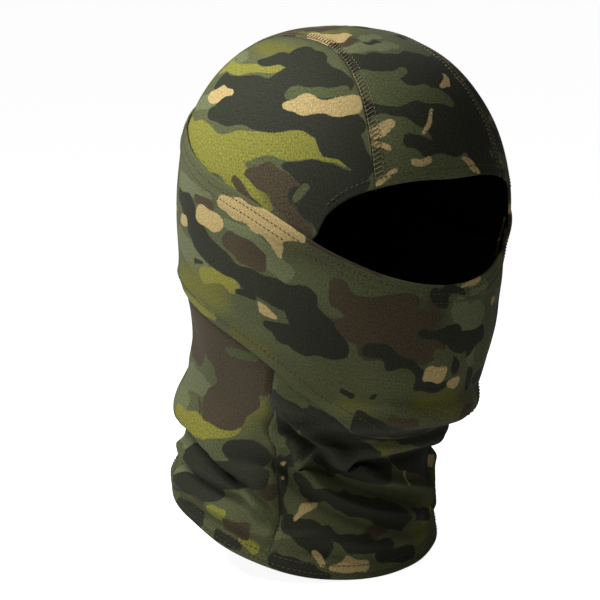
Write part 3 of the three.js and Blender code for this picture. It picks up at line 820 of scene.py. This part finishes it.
def thread_material(name, colour):
    """Spun sewing thread: fine twist along the cloth, with each stitch a little lighter or darker."""
    material = bpy.data.materials.new(name)
    material.use_nodes = True
    tree = material.node_tree
    shader = tree.nodes["Principled BSDF"]
    place = tree.nodes.new("ShaderNodeTexCoord").outputs["Object"]
    dark = tuple(c * 0.45 for c in colour)
    light = tuple(min(c * 1.6, 1) for c in colour)
    tone = mix_colour(tree, noise(tree, place, 260.0), dark, light)
    tree.links.new(tone, shader.inputs["Base Color"])
    bumped(tree, shader, noise(tree, place, 2600.0), 0.5, 0.0002)
    shader.inputs["Roughness"].default_value = 0.6
    return material


PRINTED = printed_cloth()
# The reverse is painted almost black: painted shade for the inside of the mask.
REVERSE_PAINTED_SHADE = plain_cloth("cloth_reverse_painted_shade", (0.0045, 0.0045, 0.0042), 1.25)
SEAM_THREAD = thread_material("seam_thread", srgb(108, 96, 70))
HEM_THREAD = thread_material("hem_thread", srgb(66, 56, 38))
print("materials:", [m.name for m in (PRINTED, REVERSE_PAINTED_SHADE, SEAM_THREAD, HEM_THREAD)])

# %% [markdown]
# ## Making a sheet of cloth
# A panel is a grid of places on the head, moved out to the cloth's height. A hem is the same grid
# carried on: past the edge it turns in through a half circle, which gives the thick round edge that
# folded cloth has. A cloth simulation could drape the panels, but the mask is stretched over a form
# and hardly free to fall, so the folds are set as ridges instead, where the cloth bunches.
# Solidify gives the sheet its thickness inwards, with the reverse inside, painted almost black as shade.

# %% Sheets
CLOTH = 0.6                      # thickness of the knit, in millimetres
TURN = 0.75                      # radius of a turned-in edge
TURN_ROWS = 6
HOOD_OFF, COVER_OFF = 0.8, 2.0   # outside face of the hood and the cover, above the head
EYE_CORNER, EYE_END = 52, 54     # degrees: the brow ends, and its turned-in edge has faded


def turned_rows(radius=TURN):
    """Rows past an edge: places of a half circle, as extra length past the edge and a move in."""
    bend = np.linspace(0, np.pi, TURN_ROWS + 1)[1:]
    return radius * np.sin(bend), -radius * (1 - np.cos(bend))


def measured_uv(points):
    """Cloth coordinates of a grid: distance along the middle row, and mean distance down."""
    rows, columns = points.shape[:2]
    along = np.linalg.norm(np.diff(points[rows // 2], axis=0), axis=-1)
    down = np.linalg.norm(np.diff(points, axis=0), axis=-1).mean(1)
    u = np.concatenate([[0], np.cumsum(along)])
    v = np.concatenate([[0], np.cumsum(down)])
    return np.stack(np.meshgrid(u, -v), -1) * MM


def cloth_piece(name, points, fields):
    """A sheet from a grid of points (rows, columns, 3) in millimetres. Columns run with the angle
    and rows run down, so that faces point out. Fields is a dict of values for each place."""
    rows, columns = points.shape[:2]
    index = np.arange(rows * columns).reshape(rows, columns)
    quads = np.stack([index[:-1, :-1], index[1:, :-1], index[1:, 1:], index[:-1, 1:]], -1).reshape(-1, 4)
    mesh = bpy.data.meshes.new(name)
    mesh.from_pydata((points.reshape(-1, 3) * MM).tolist(), [], quads.tolist())
    layer = mesh.uv_layers.new(name="cloth")
    corner_uv = measured_uv(points).reshape(-1, 2)[quads.ravel()]
    layer.data.foreach_set("uv", corner_uv.ravel().astype(np.float32))
    for label, values in fields.items():
        mesh.attributes.new("ink_" + label, "FLOAT", "POINT").data.foreach_set(
            "value", np.ascontiguousarray(values, np.float32).ravel())
    mesh.materials.append(PRINTED)
    mesh.materials.append(REVERSE_PAINTED_SHADE)
    mesh.shade_smooth()
    obj = bpy.data.objects.new(name, mesh)
    bpy.context.scene.collection.objects.link(obj)
    thicken(obj)
    return obj


def thicken(obj):
    """Solidify inwards by the cloth's thickness, kept in the mesh."""
    solidify = obj.modifiers.new("thickness", "SOLIDIFY")
    solidify.thickness = CLOTH * MM
    solidify.offset = -1.0
    solidify.material_offset = 1
    depsgraph = bpy.context.evaluated_depsgraph_get()
    mesh = bpy.data.meshes.new_from_object(obj.evaluated_get(depsgraph), depsgraph=depsgraph,
                                           preserve_all_data_layers=True)
    obj.modifiers.clear()
    mesh.name = obj.name
    obj.data = mesh


def print_fields(u, v, strokes, width_at=low_width, length=1.0):
    """The field of every ink at places u, v."""
    u, v = ragged(u, v)
    return {name: brush(u, v, strokes[name], width_at, length) for name in LAYERS}


def seam_dip(distance, depth=1.5, width=1.7):
    """How far the cloth is pulled in near a seam: a bell curve of the distance to it."""
    return -depth * np.exp(-(distance / width) ** 2)


def fold_height(angle, drop, folds, fade=14.0):
    """Ridges and hollows. Each fold is a line of (angle, drop) with a height, and a width above and
    below the line: the cloth stands out by the height times a bell curve of the way to the line,
    which fades out over the last few degrees at both ends."""
    total = np.zeros(np.broadcast(angle, drop).shape)
    for line, height, above, below in folds:
        away = drop - smooth(line, angle)
        width = np.where(away < 0, above, below)
        ends = step((angle - line[0][0]) / fade) * step((line[-1][0] - angle) / fade)
        total = total + height * ends * np.exp(-(away / width) ** 2)
    return total


def ripple(angle, drop, size=0.16):
    """Faint unevenness of soft cloth: three crossed waves, a few centimetres long."""
    a, d = np.radians(angle) * 80, drop
    return size * (np.sin(a / 9 + d / 14) + np.sin(a / 6.1 - d / 11 + 1.0)
                   + 0.7 * np.sin(a / 14 - d / 6.3 + 2.0))


def hood_off(angle, drop):
    """The hood's plain height."""
    return HOOD_OFF + 0.0 * drop


# %% [markdown]
# ## Crown panels
# The centre strip runs from the brow over the top to the back. Its grid runs across the strip and
# along it, because a grid in angles would bunch at the top of the head. The side panels hang from
# the crown seams: their grid follows the seam, and runs down to the eye opening in front, and to
# a hidden seam under the wings behind. Both end at the eye opening in a turned-in edge.

# %% Crown panels


def seam_half(share):
    """Half width of the centre strip: wide at the brow, easing to its width over the top."""
    return SEAM_FRONT + (SEAM_TOP - SEAM_FRONT) * step(share / 0.45)


def brow_plan(x):
    """Plan place of the eye opening's edge for a given x: the angle and the edge settle in turn."""
    angle = np.zeros_like(x)
    for _ in range(30):
        q = np.maximum(-smooth(BROW_EDGE, angle), 0) / CROWN_HEIGHT
        e = CROWN_ROUND - CROWN_LEAN * np.cos(np.radians(angle))
        k = (1 - q**e) ** (1 / e)
        angle = np.degrees(np.arcsin(np.clip(np.abs(x) / (HALF_BREADTH * k), 0, 1) ** (HEAD_ROUND / 2)))
    return crown_plan(angle, smooth(BROW_EDGE, angle))[1]


def strip_plan(share, x):
    """Plan place on the strip: x across, share from the brow (0) over the top to the back (1)."""
    front = brow_plan(x)
    rim = (1 - (np.abs(x) / HALF_BREADTH) ** HEAD_ROUND) ** (1 / HEAD_ROUND)
    rear = (NAPE_REACH - CENTRE_Y) * rim * 0.999
    swing = (1 - np.cos(np.pi * share)) / 2
    return x, front + (rear - front) * (swing + (share - swing) * 0.25)


def chart_of(x, y):
    """Angle and drop of a plan place on the dome."""
    reach = np.where(y < 0, BROW_REACH + CENTRE_Y, NAPE_REACH - CENTRE_Y)
    u = (np.abs(x) / HALF_BREADTH) ** (HEAD_ROUND / 2)
    v = (np.abs(y) / reach) ** (HEAD_ROUND / 2)
    k = np.minimum(np.hypot(u, v) ** (2 / HEAD_ROUND), 1)
    angle = np.degrees(np.arctan2(u, np.where(y < 0, v, -v)))
    e = CROWN_ROUND - CROWN_LEAN * np.cos(np.radians(angle))
    return np.sign(x) * angle, -((1 - k**e) ** (1 / e)) * CROWN_HEIGHT


def crown_centre():
    """The centre strip with its turned-in front edge."""
    share = np.linspace(1, 0, 190)[:, None]
    across = np.linspace(-1, 1, 61)[None, :]
    x = across * seam_half(share)
    x, y = strip_plan(np.broadcast_to(share, x.shape), x)
    point, normal = crown_at(x, y)
    angle, drop = chart_of(x, y)
    off = HOOD_OFF + seam_dip(seam_half(share) - np.abs(x), 0.5) + ripple(angle, drop) * 0.5
    main = point + normal * off[..., None]
    onward = unit(main[-1] - main[-2])
    past, inward = turned_rows()
    turn = main[-1] + onward * past[:, None, None] + normal[-1] * inward[:, None, None]
    grid = np.concatenate([main, turn])
    angle = np.concatenate([angle, np.repeat(angle[-1:], TURN_ROWS, 0)])
    drop = np.concatenate([drop, drop[-1:] + (np.arange(1, TURN_ROWS + 1) * 0.45)[:, None]])
    behind = wrapped(scatter(11, 150, (95, -95), (262, -5), (-100, 26)))
    strokes = together(CENTRE_PRINT, behind, scatter(12, 24, (32, -95), (88, -20), (-95, 30)))
    fields = print_fields(angle, dome_height(drop), strokes, dome_width, DOME_ARC)
    return cloth_piece("crown_centre", grid, fields)


def hood_side(name, side, strokes):
    """A side panel: columns follow the crown seam, rows run down to the eye opening or the hidden
    seam, then turn in."""
    columns, rows = 210, 84
    share = np.linspace(0.0, 0.985, columns)
    x = seam_half(share)
    angle, top = chart_of(*strip_plan(share, x))
    low = np.where(angle < EYE_CORNER, edge(BROW_EDGE, angle), edge(JOIN_EDGE, angle) - 0.6)
    low = np.maximum(low, top + 0.6)
    t = np.linspace(0, 1, rows)[:, None]
    drop = top + (low - top) * t
    at = np.broadcast_to(angle, drop.shape)
    gap = (drop - top) * 1.0
    off = HOOD_OFF + seam_dip(gap, 0.5) + ripple(side * at, drop) * 0.7 * step(gap / 10)
    past, inward = turned_rows()
    keep = step((EYE_END - angle) / 4) * 0.9 + 0.1
    drop = np.concatenate([drop, low + past[:, None] * keep])
    off = np.concatenate([off, off[-1:] + inward[:, None] * keep])
    at = np.broadcast_to(angle, drop.shape)
    if side < 0:
        at, drop, off = at[:, ::-1], drop[:, ::-1], off[:, ::-1]
    fields = print_fields(side * at, dome_height(drop), strokes, dome_width, DOME_ARC)
    return cloth_piece(name, skin(side * at, drop, off), fields)


side_right_print = together(SIDE_PRINT, scatter(21, 90, (-185, -80), (-118, 14), (-124, 0)))
side_left_print = scatter(22, 210, (15, -85), (185, 14), (-200, -190))
CROWN_CENTRE = crown_centre()
HOOD_RIGHT = hood_side("hood_side_right", -1, side_right_print)
HOOD_LEFT = hood_side("hood_side_left", 1, side_left_print)

# %% [markdown]
# ## Neck panels
# The two side panels and the front panel make the skirt. They meet at seams that run down behind
# the jaw. The skirt is longer than the neck, so the cloth bunches: a heavy fold overhangs a crease
# round the nape, and long folds fall from behind the jaw across the throat. Each panel ends in the
# turned-in bottom hem.

# %% Folds of the skirt
NECK_FOLDS = [
    ([(-179, 108), (-150, 112), (-118, 119), (-105, 122), (-90, 129), (-80, 135), (-60, 142),
      (-50, 149), (-40, 158)], 6.4, 12.0, 1.7),
    ([(-179, 113), (-150, 117), (-118, 124), (-105, 127), (-88, 134), (-74, 141), (-52, 153)],
     -4.4, 2.6, 4.6),
    ([(-134, 135), (-100, 140), (-80, 144), (-62, 149), (-50, 158), (-42, 168)], 4.6, 3.2, 2.2),
    ([(-134, 140), (-100, 145), (-80, 149), (-62, 155), (-50, 164)], -3.0, 2.0, 3.0),
    ([(-140, 150), (-100, 153), (-78, 158), (-60, 164), (-46, 172)], 3.0, 3.0, 2.4),
    ([(-140, 156), (-100, 158), (-78, 164), (-60, 171), (-46, 177)], -1.8, 2.4, 3.0),
    ([(-76, 92), (-58, 102), (-42, 112), (-22, 126), (0, 140), (24, 151), (44, 158)], 5.6, 3.4, 4.6),
    ([(-70, 102), (-52, 113), (-34, 126), (-14, 141), (10, 153), (32, 161)], -5.0, 3.4, 3.6),
    ([(-60, 112), (-44, 126), (-26, 142), (-4, 157), (14, 164), (34, 169)], 4.4, 3.4, 4.0),
    ([(-52, 130), (-38, 142), (-22, 154), (0, 166), (24, 174)], -3.6, 3.0, 3.6),
    ([(-60, 168), (-42, 170), (-24, 170), (-6, 176), (14, 179), (34, 180)], 2.6, 3.0, 3.0),
    ([(-44, 178), (-24, 178), (-4, 184), (24, 187)], -1.8, 2.6, 3.0),
    ([(20, 118), (36, 128), (52, 138), (68, 148)], 2.0, 5.0, 6.0),
    ([(30, 168), (50, 152), (62, 143), (80, 136), (95, 130), (118, 120), (150, 112), (179, 108)],
     4.0, 12.0, 3.0),
    ([(40, 162), (60, 148), (80, 141), (100, 133), (118, 126), (150, 117), (179, 113)], -3.0, 3.4, 4.6),
    ([(34, 174), (60, 156), (80, 149), (105, 142), (140, 136)], 2.6, 4.0, 3.6),
    ([(40, 180), (60, 163), (80, 155), (105, 148), (140, 142)], -1.6, 3.0, 3.4),
]


def skirt_off(angle, drop):
    """Height of the skirt's cloth: layer, folds and faint ripple. Folds fade in below the wings."""
    below = step((drop - edge(COVER_BOTTOM, angle) - 2) / 16)
    near_hem = step((hem_edge(angle) - drop) / 14)
    folds = fold_height(angle, drop, NECK_FOLDS) * (0.25 + 0.75 * near_hem)
    return HOOD_OFF + (folds + 1.6 * ripple(angle, drop)) * below


def neck_drop(angle, share):
    """Drop of a place between the throat edge (0) and the bottom hem (1)."""
    top = edge(THROAT_EDGE, angle)
    return top + (hem_edge(angle) - top) * share


def neck_seam_angle(share):
    """Angle of the neck seam: the row's drop and the seam's angle settle on each other."""
    angle = np.full(np.shape(share), 71.0)
    for _ in range(20):
        angle = smooth(NECK_SEAM, neck_drop(angle, share))
    return angle


def with_turned_hem(angle, drop, off):
    """Adds the rows that turn in at the bottom hem."""
    past, inward = turned_rows()
    drop = np.concatenate([drop, drop[-1:] + past[:, None]])
    off = np.concatenate([off, off[-1:] + inward[:, None]])
    angle = np.concatenate([angle, np.repeat(angle[-1:], TURN_ROWS, 0)])
    return angle, drop, off


# A side panel of the skirt runs this far up under the hood's panel, and lies this much further in.
LAP, TUCK = 2.5, 0.75


def neck_side(name, side, strokes):
    """A side panel of the skirt, from under the wing to the hem, and from the neck seam to the
    back."""
    columns, upper, lower = 150, 40, 96
    t = np.linspace(0, 1, columns)[None, :]
    share = np.concatenate([np.zeros(upper), np.linspace(0, 1, lower)])[:, None]
    rise = np.concatenate([np.linspace(0, 1, upper, endpoint=False), np.ones(lower)])[:, None]
    front = EYE_CORNER + (neck_seam_angle(share) - EYE_CORNER) * rise
    angle = front + (180 - front) * t
    start = edge(JOIN_EDGE, angle) - LAP
    upper_drop = start + (edge(THROAT_EDGE, angle) - start) * rise
    drop = np.where(rise < 1, upper_drop, neck_drop(angle, share))
    to_seam = (angle - front) * 1.12
    to_back = (180 - angle) * 1.6
    above_hem = step((hem_edge(angle) - drop - 9) / 8)
    off = skirt_off(side * angle, drop) + (seam_dip(to_seam) + seam_dip(to_back)) * above_hem
    off = off - TUCK * step((start + 2 * LAP - drop) / LAP)
    angle, drop, off = with_turned_hem(angle, drop, off)
    if side < 0:
        angle, drop, off = angle[:, ::-1], drop[:, ::-1], off[:, ::-1]
    return cloth_piece(name, skin(side * angle, drop, off), print_fields(side * angle, drop, strokes))


def neck_front():
    """The front panel of the skirt, between the two neck seams."""
    columns, rows = 130, 100
    share = np.linspace(0, 1, rows)[:, None]
    seam = neck_seam_angle(share)
    angle = np.linspace(-1, 1, columns)[None, :] * seam
    drop = neck_drop(angle, share)
    above_hem = step((hem_edge(angle) - drop - 9) / 8)
    off = skirt_off(angle, drop) + seam_dip((seam - np.abs(angle)) * 1.12) * above_hem
    angle, drop, off = with_turned_hem(angle, drop, off)
    strokes = together(NECK_FRONT_PRINT_AND_PAINTED_SHADE, scatter(33, 40, (40, 90), (75, 195), (-80, 40)))
    return cloth_piece("neck_front", skin(angle, drop, off), print_fields(angle, drop, strokes))


neck_right_print = together(NECK_SIDE_PRINT, scatter(31, 90, (-185, 10), (-128, 180), (-134, -30)))
neck_left_print = scatter(32, 260, (40, 10), (185, 195), (-200, -190))
NECK_RIGHT = neck_side("neck_side_right", -1, neck_right_print)
NECK_LEFT = neck_side("neck_side_left", 1, neck_left_print)
NECK_FRONT_PIECE = neck_front()

# %% [markdown]
# ## The face cover
# The cover crosses the nose, and its wings run up and back and meet behind the head. It moves: the front
# is pulled down off the nose while the wings stay. A rigid piece would tear away from the wings, so it
# is one sheet all the way round.
# It stands thicker along its hem, where three layers lie on each other.

# %% Face cover
COVER_FOLDS = [
    ([(-140, 33), (-110, 42), (-90, 49), (-75, 58), (-60, 69), (-45, 81), (-25, 92)], 1.0, 5.0, 4.0),
    ([(25, 92), (45, 81), (60, 69), (75, 58), (90, 49), (110, 42), (140, 33)], 1.0, 5.0, 4.0),
    ([(-34, 92), (-15, 97), (0, 99), (15, 97), (34, 92)], 1.6, 7.0, 5.0),
    ([(-80, 30), (-55, 52), (-30, 72), (-10, 84)], 0.7, 9.0, 9.0),
    ([(10, 84), (30, 72), (55, 52), (80, 30)], 0.7, 9.0, 9.0),
]
COVER_HEM, COVER_LOWER_HEM = 11.0, 7.0


def cover_off(angle, drop):
    """Height of the cover: thicker at its two hems, with its folds and ripple."""
    from_top = drop - edge(COVER_TOP, angle)
    from_bottom = edge(COVER_BOTTOM, angle) - drop
    hems = (0.7 * step((COVER_HEM + 2 - from_top) / 3)
            + 0.5 * step((COVER_LOWER_HEM + 2 - from_bottom) / 3))
    free = step((from_top - 6) / 12)
    return COVER_OFF + hems + (fold_height(angle, drop, COVER_FOLDS) + 1.3 * ripple(angle, drop)) * free


def face_cover():
    """The cover with a turned-in edge above and below. The lower one carries its narrow hem."""
    columns, rows = 420, 74
    angle = np.linspace(-180, 180, columns)[None, :]
    top, bottom = edge(COVER_TOP, angle), edge(COVER_BOTTOM, angle)
    drop = top + (bottom - top) * np.linspace(0, 1, rows)[:, None]
    off = cover_off(angle, drop) + seam_dip((180 - np.abs(angle)) * 1.6, 0.8)
    past, inward = turned_rows()
    flap = np.linspace(0.5, COVER_LOWER_HEM, 5)[:, None]
    drop = np.concatenate([top - past[::-1, None], drop, bottom + past[:, None], bottom - flap])
    off = np.concatenate([off[:1] + inward[::-1, None], off, off[-1:] + inward[:, None],
                          np.repeat(off[-1:] - 2 * TURN, 5, 0)])
    angle = np.broadcast_to(angle, drop.shape)
    strokes = together(COVER_PRINT_AND_PAINTED_SHADE, scatter(41, 230, (20, -55), (185, 110), (-118, 20)),
                       scatter(42, 90, (-190, -55), (-118, 50), (-120, 40)))
    return cloth_piece("cover", skin(angle, drop, off), print_fields(angle, drop, strokes))


COVER = face_cover()

# %% [markdown]
# ## Turned-in hems
# What is turned in behind an edge shows only from inside and below. It is its own strip, as wide as
# the cloth that is turned in, and starts where the panel's round edge ends.

# %% Turned-in hems


def hem_strip(name, angles, edge_drop, deep, off, toward, strokes, columns=220):
    """A strip behind an edge, from the edge inwards. Toward is 1 where the cloth lies above its
    edge (rows go up from it), and -1 where it lies below."""
    angle = np.linspace(*angles, columns)[None, :]
    reach = np.linspace(0, deep, 9)[:, None]
    if toward < 0:
        reach = reach[::-1]
    drop = edge_drop(angle) - toward * reach
    height = off(angle, drop) - 2 * TURN
    angle = np.broadcast_to(angle, drop.shape)
    return cloth_piece(name, skin(angle, drop, height), print_fields(angle, drop, strokes))


HEM_DEEP, BROW_DEEP = 10.0, 8.0
everywhere = scatter(51, 260, (-185, -60), (185, 195), (-400, -390))
BROW_HEM = hem_strip("brow_hem_strip", (-50, 50), brow_edge, BROW_DEEP, hood_off, 1, everywhere, 120)
BOTTOM_HEM = hem_strip("bottom_hem_strip", (-180, 180), hem_edge, HEM_DEEP, skirt_off, 1, everywhere)
COVER_HEM_STRIP = hem_strip("cover_hem_strip", (-180, 180), cover_top, COVER_HEM, cover_off, -1,
                            everywhere)

# %% [markdown]
# ## Stitches
# A stitch is a short thread that comes up out of the cloth, lies along it and goes down again. There
# are over a thousand, so each has only a few faces: six sides and five rings, all placed at once as
# arrays. Hems have plain rows. The crown seams are flat seams: a chain of pale thread beside
# the seam, and slanting threads that cross to a second row.

# %% Stitches


def stitch_piece(name, start, finish, out, material, radius=0.26, lift=0.3):
    """Stitches from arrays of start, finish and outward directions. Along each, the centre rises by
    a half sine times the lift, and the thread is thinner where it enters the cloth."""
    sides, t = 6, np.array([0.0, 0.2, 0.5, 0.8, 1.0])
    along = unit(finish - start)
    side = unit(np.cross(along, out))
    out = np.cross(side, along)
    bow = (lift * np.sin(np.pi * t) - 0.12)[None, :, None]
    centre = start[:, None] + (finish - start)[:, None] * t[None, :, None] + out[:, None] * bow
    thick = radius * np.array([0.55, 1, 1, 1, 0.55])
    turn = np.arange(sides) * 2 * np.pi / sides
    ring = (np.cos(turn)[None, None, :, None] * side[:, None, None]
            + np.sin(turn)[None, None, :, None] * out[:, None, None])
    points = (centre[:, :, None] + ring * thick[None, :, None, None]).reshape(-1, 3)
    rings = np.arange(len(t) - 1)[:, None] * sides
    s = np.arange(sides)[None, :]
    n = (s + 1) % sides
    quads = np.stack([rings + s, rings + n, rings + sides + n, rings + sides + s], -1).reshape(-1, 4)
    base = np.arange(len(start))[:, None, None] * sides * len(t)
    walls = (quads[None] + base).reshape(-1, 4)
    last = sides * (len(t) - 1)
    first_cap = np.arange(sides)[None] + base[:, 0]
    caps = np.concatenate([first_cap[:, ::-1], first_cap + last])
    mesh = bpy.data.meshes.new(name)
    mesh.from_pydata((points * MM).tolist(), [], walls.tolist() + caps.tolist())
    mesh.materials.append(material)
    mesh.shade_smooth()
    obj = bpy.data.objects.new(name, mesh)
    bpy.context.scene.collection.objects.link(obj)
    print(name, len(start), "stitches")
    return obj


def distances(line):
    """Distance along a line at each of its points."""
    return np.concatenate([[0], np.cumsum(np.linalg.norm(np.diff(line, axis=0), axis=-1))])


def place(length, values, where):
    """Points or directions given along a line, read at other distances along it."""
    return np.stack([np.interp(where, length, values[:, i]) for i in range(3)], -1)


def along_line(angle, drop, off, pitch, gap):
    """Stitches along a line on the cloth: the line is measured, and cut into equal stitches with a
    gap between them. Gives starts, finishes and outward directions."""
    line = skin(angle, drop, off)
    out = unit(skin(angle, drop, off + 1) - line)
    length = distances(line)
    count = int(length[-1] / pitch)
    at = (np.arange(count) + 0.5) * length[-1] / count
    half = (pitch - gap) / 2
    return (place(length, line, at - half), place(length, line, at + half),
            unit(place(length, out, at)))


STITCH_PITCH, STITCH_GAP = 2.9, 0.9
COVER_ROWS, HEM_ROWS, BROW_ROW, LOWER_ROW = (3.6, 8.2), (2.2, 6.8), 4.2, 6.4


def hem_row(name, reach, edge_drop, inset, off):
    """A plain row of stitches at a distance from an edge, from minus the reach to the reach."""
    angle = np.linspace(-reach, reach, 700)
    drop = edge_drop(angle) + inset
    line = along_line(angle, drop, off(angle, drop) + 0.02, STITCH_PITCH, STITCH_GAP)
    return stitch_piece(name, *line, HEM_THREAD)


def crown_stitches(name, side):
    """The flat seam over the crown: a chain beside the seam, and slanting threads across it."""
    share = np.linspace(0.012, 0.93, 900)

    def row(across):
        x = side * (seam_half(share) - across)
        point, normal = crown_at(*strip_plan(share, x))
        return point + normal * (HOOD_OFF - 0.02), normal
    chain, out = row(0.6)
    far, _ = row(4.6)
    length = distances(chain)
    at = np.arange(1.5, length[-1] - 2, 2.4)
    normal = unit(place(length, out, at))
    starts = [place(length, line, at + move) for line, move in ((chain, -0.95), (chain, 0), (far, -0.7))]
    ends = [place(length, line, at + move) for line, move in ((chain, 0.95), (far, 1.1), (far, 0.7))]
    return stitch_piece(name, np.concatenate(starts), np.concatenate(ends),
                        np.concatenate([normal] * 3), SEAM_THREAD, 0.24, 0.26)


SEAM_PITCH, SEAM_STITCH_GAP, SEAM_SUNK = 2.6, 1.2, 1.3


def skirt_seam_stitches(name, angle, drop):
    """Small stitches that hold a seam of the skirt, sunk in its groove."""
    off = skirt_off(angle, drop) - SEAM_SUNK
    line = along_line(angle, drop, off, SEAM_PITCH, SEAM_STITCH_GAP)
    return stitch_piece(name, *line, HEM_THREAD, 0.2, 0.25)


def neck_seam_stitches(name, side):
    """The seam between the front panel of the skirt and a side panel."""
    share = np.linspace(0.03, 0.93, 300)
    angle = side * neck_seam_angle(share)
    return skirt_seam_stitches(name, angle, neck_drop(angle, share))


def back_seam_stitches():
    """The seam at the middle of the back of the skirt."""
    drop = np.linspace(50, hem_edge(180.0) - 9, 300)
    angle = np.full(drop.shape, 180.0)
    return skirt_seam_stitches("back_seam_stitches", angle, drop)


CROWN_STITCH_RIGHT = crown_stitches("crown_seam_right", -1)
CROWN_STITCH_LEFT = crown_stitches("crown_seam_left", 1)
BROW_STITCH = hem_row("brow_stitches", 47, brow_edge, -BROW_ROW, hood_off)
COVER_UPPER = hem_row("cover_stitches_upper", 178, cover_top, COVER_ROWS[0], cover_off)
COVER_LOWER = hem_row("cover_stitches_lower", 178, cover_top, COVER_ROWS[1], cover_off)
COVER_EDGE = hem_row("cover_stitches_edge", 178, cover_bottom, -LOWER_ROW, cover_off)
HEM_UPPER = hem_row("hem_stitches_upper", 179, hem_edge, -HEM_ROWS[1], skirt_off)
HEM_LOWER = hem_row("hem_stitches_lower", 179, hem_edge, -HEM_ROWS[0], skirt_off)
NECK_STITCH_RIGHT = neck_seam_stitches("neck_seam_stitches_right", -1)
NECK_STITCH_LEFT = neck_seam_stitches("neck_seam_stitches_left", 1)
BACK_STITCH = back_seam_stitches()

# %% [markdown]
# ## Bodies, nodes and cloth
# Every piece rides on the hood, apart from the cover and what is sewn to it, which ride on no body and
# have their placement baked into the mesh. Each piece stands for its plain CAD node.
# The knit is stretched over the head by about a twelfth, so the flat cut is that much smaller
# than what is measured here.

RIDERS = {
    "crown_centre_panel": (CROWN_CENTRE, "printed_cloth"),
    "hood_side_panel_right": (HOOD_RIGHT, "printed_cloth"),
    "hood_side_panel_left": (HOOD_LEFT, "printed_cloth"),
    "neck_side_panel_right": (NECK_RIGHT, "printed_cloth"),
    "neck_side_panel_left": (NECK_LEFT, "printed_cloth"),
    "neck_front_panel": (NECK_FRONT_PIECE, "printed_cloth"),
    "brow_hem": (BROW_HEM, "hem_cloth"),
    "bottom_hem": (BOTTOM_HEM, "hem_cloth"),
    "crown_stitching_right": (CROWN_STITCH_RIGHT, "seam_thread"),
    "crown_stitching_left": (CROWN_STITCH_LEFT, "seam_thread"),
    "brow_stitching": (BROW_STITCH, "hem_thread"),
    "hem_stitching_upper": (HEM_UPPER, "hem_thread"),
    "hem_stitching_lower": (HEM_LOWER, "hem_thread"),
    "neck_seam_right": (NECK_STITCH_RIGHT, "seam_thread"),
    "neck_seam_left": (NECK_STITCH_LEFT, "seam_thread"),
    "back_seam": (BACK_STITCH, "seam_thread"),
}
for node, (piece, slot) in RIDERS.items():
    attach(piece, "hood")
    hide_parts(node)

BENDERS = [
    (COVER, ["face_cover", "cover_back_band"], "cover_cloth"),
    (COVER_HEM_STRIP, ["face_cover_hem"], "hem_cloth"),
    (COVER_UPPER, ["cover_stitching_upper"], "hem_thread"),
    (COVER_LOWER, ["cover_stitching_lower"], "hem_thread"),
    (COVER_EDGE, [], "hem_thread"),
]
for piece, nodes, slot in BENDERS:
    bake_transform(piece)
    if nodes:
        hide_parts(*nodes)
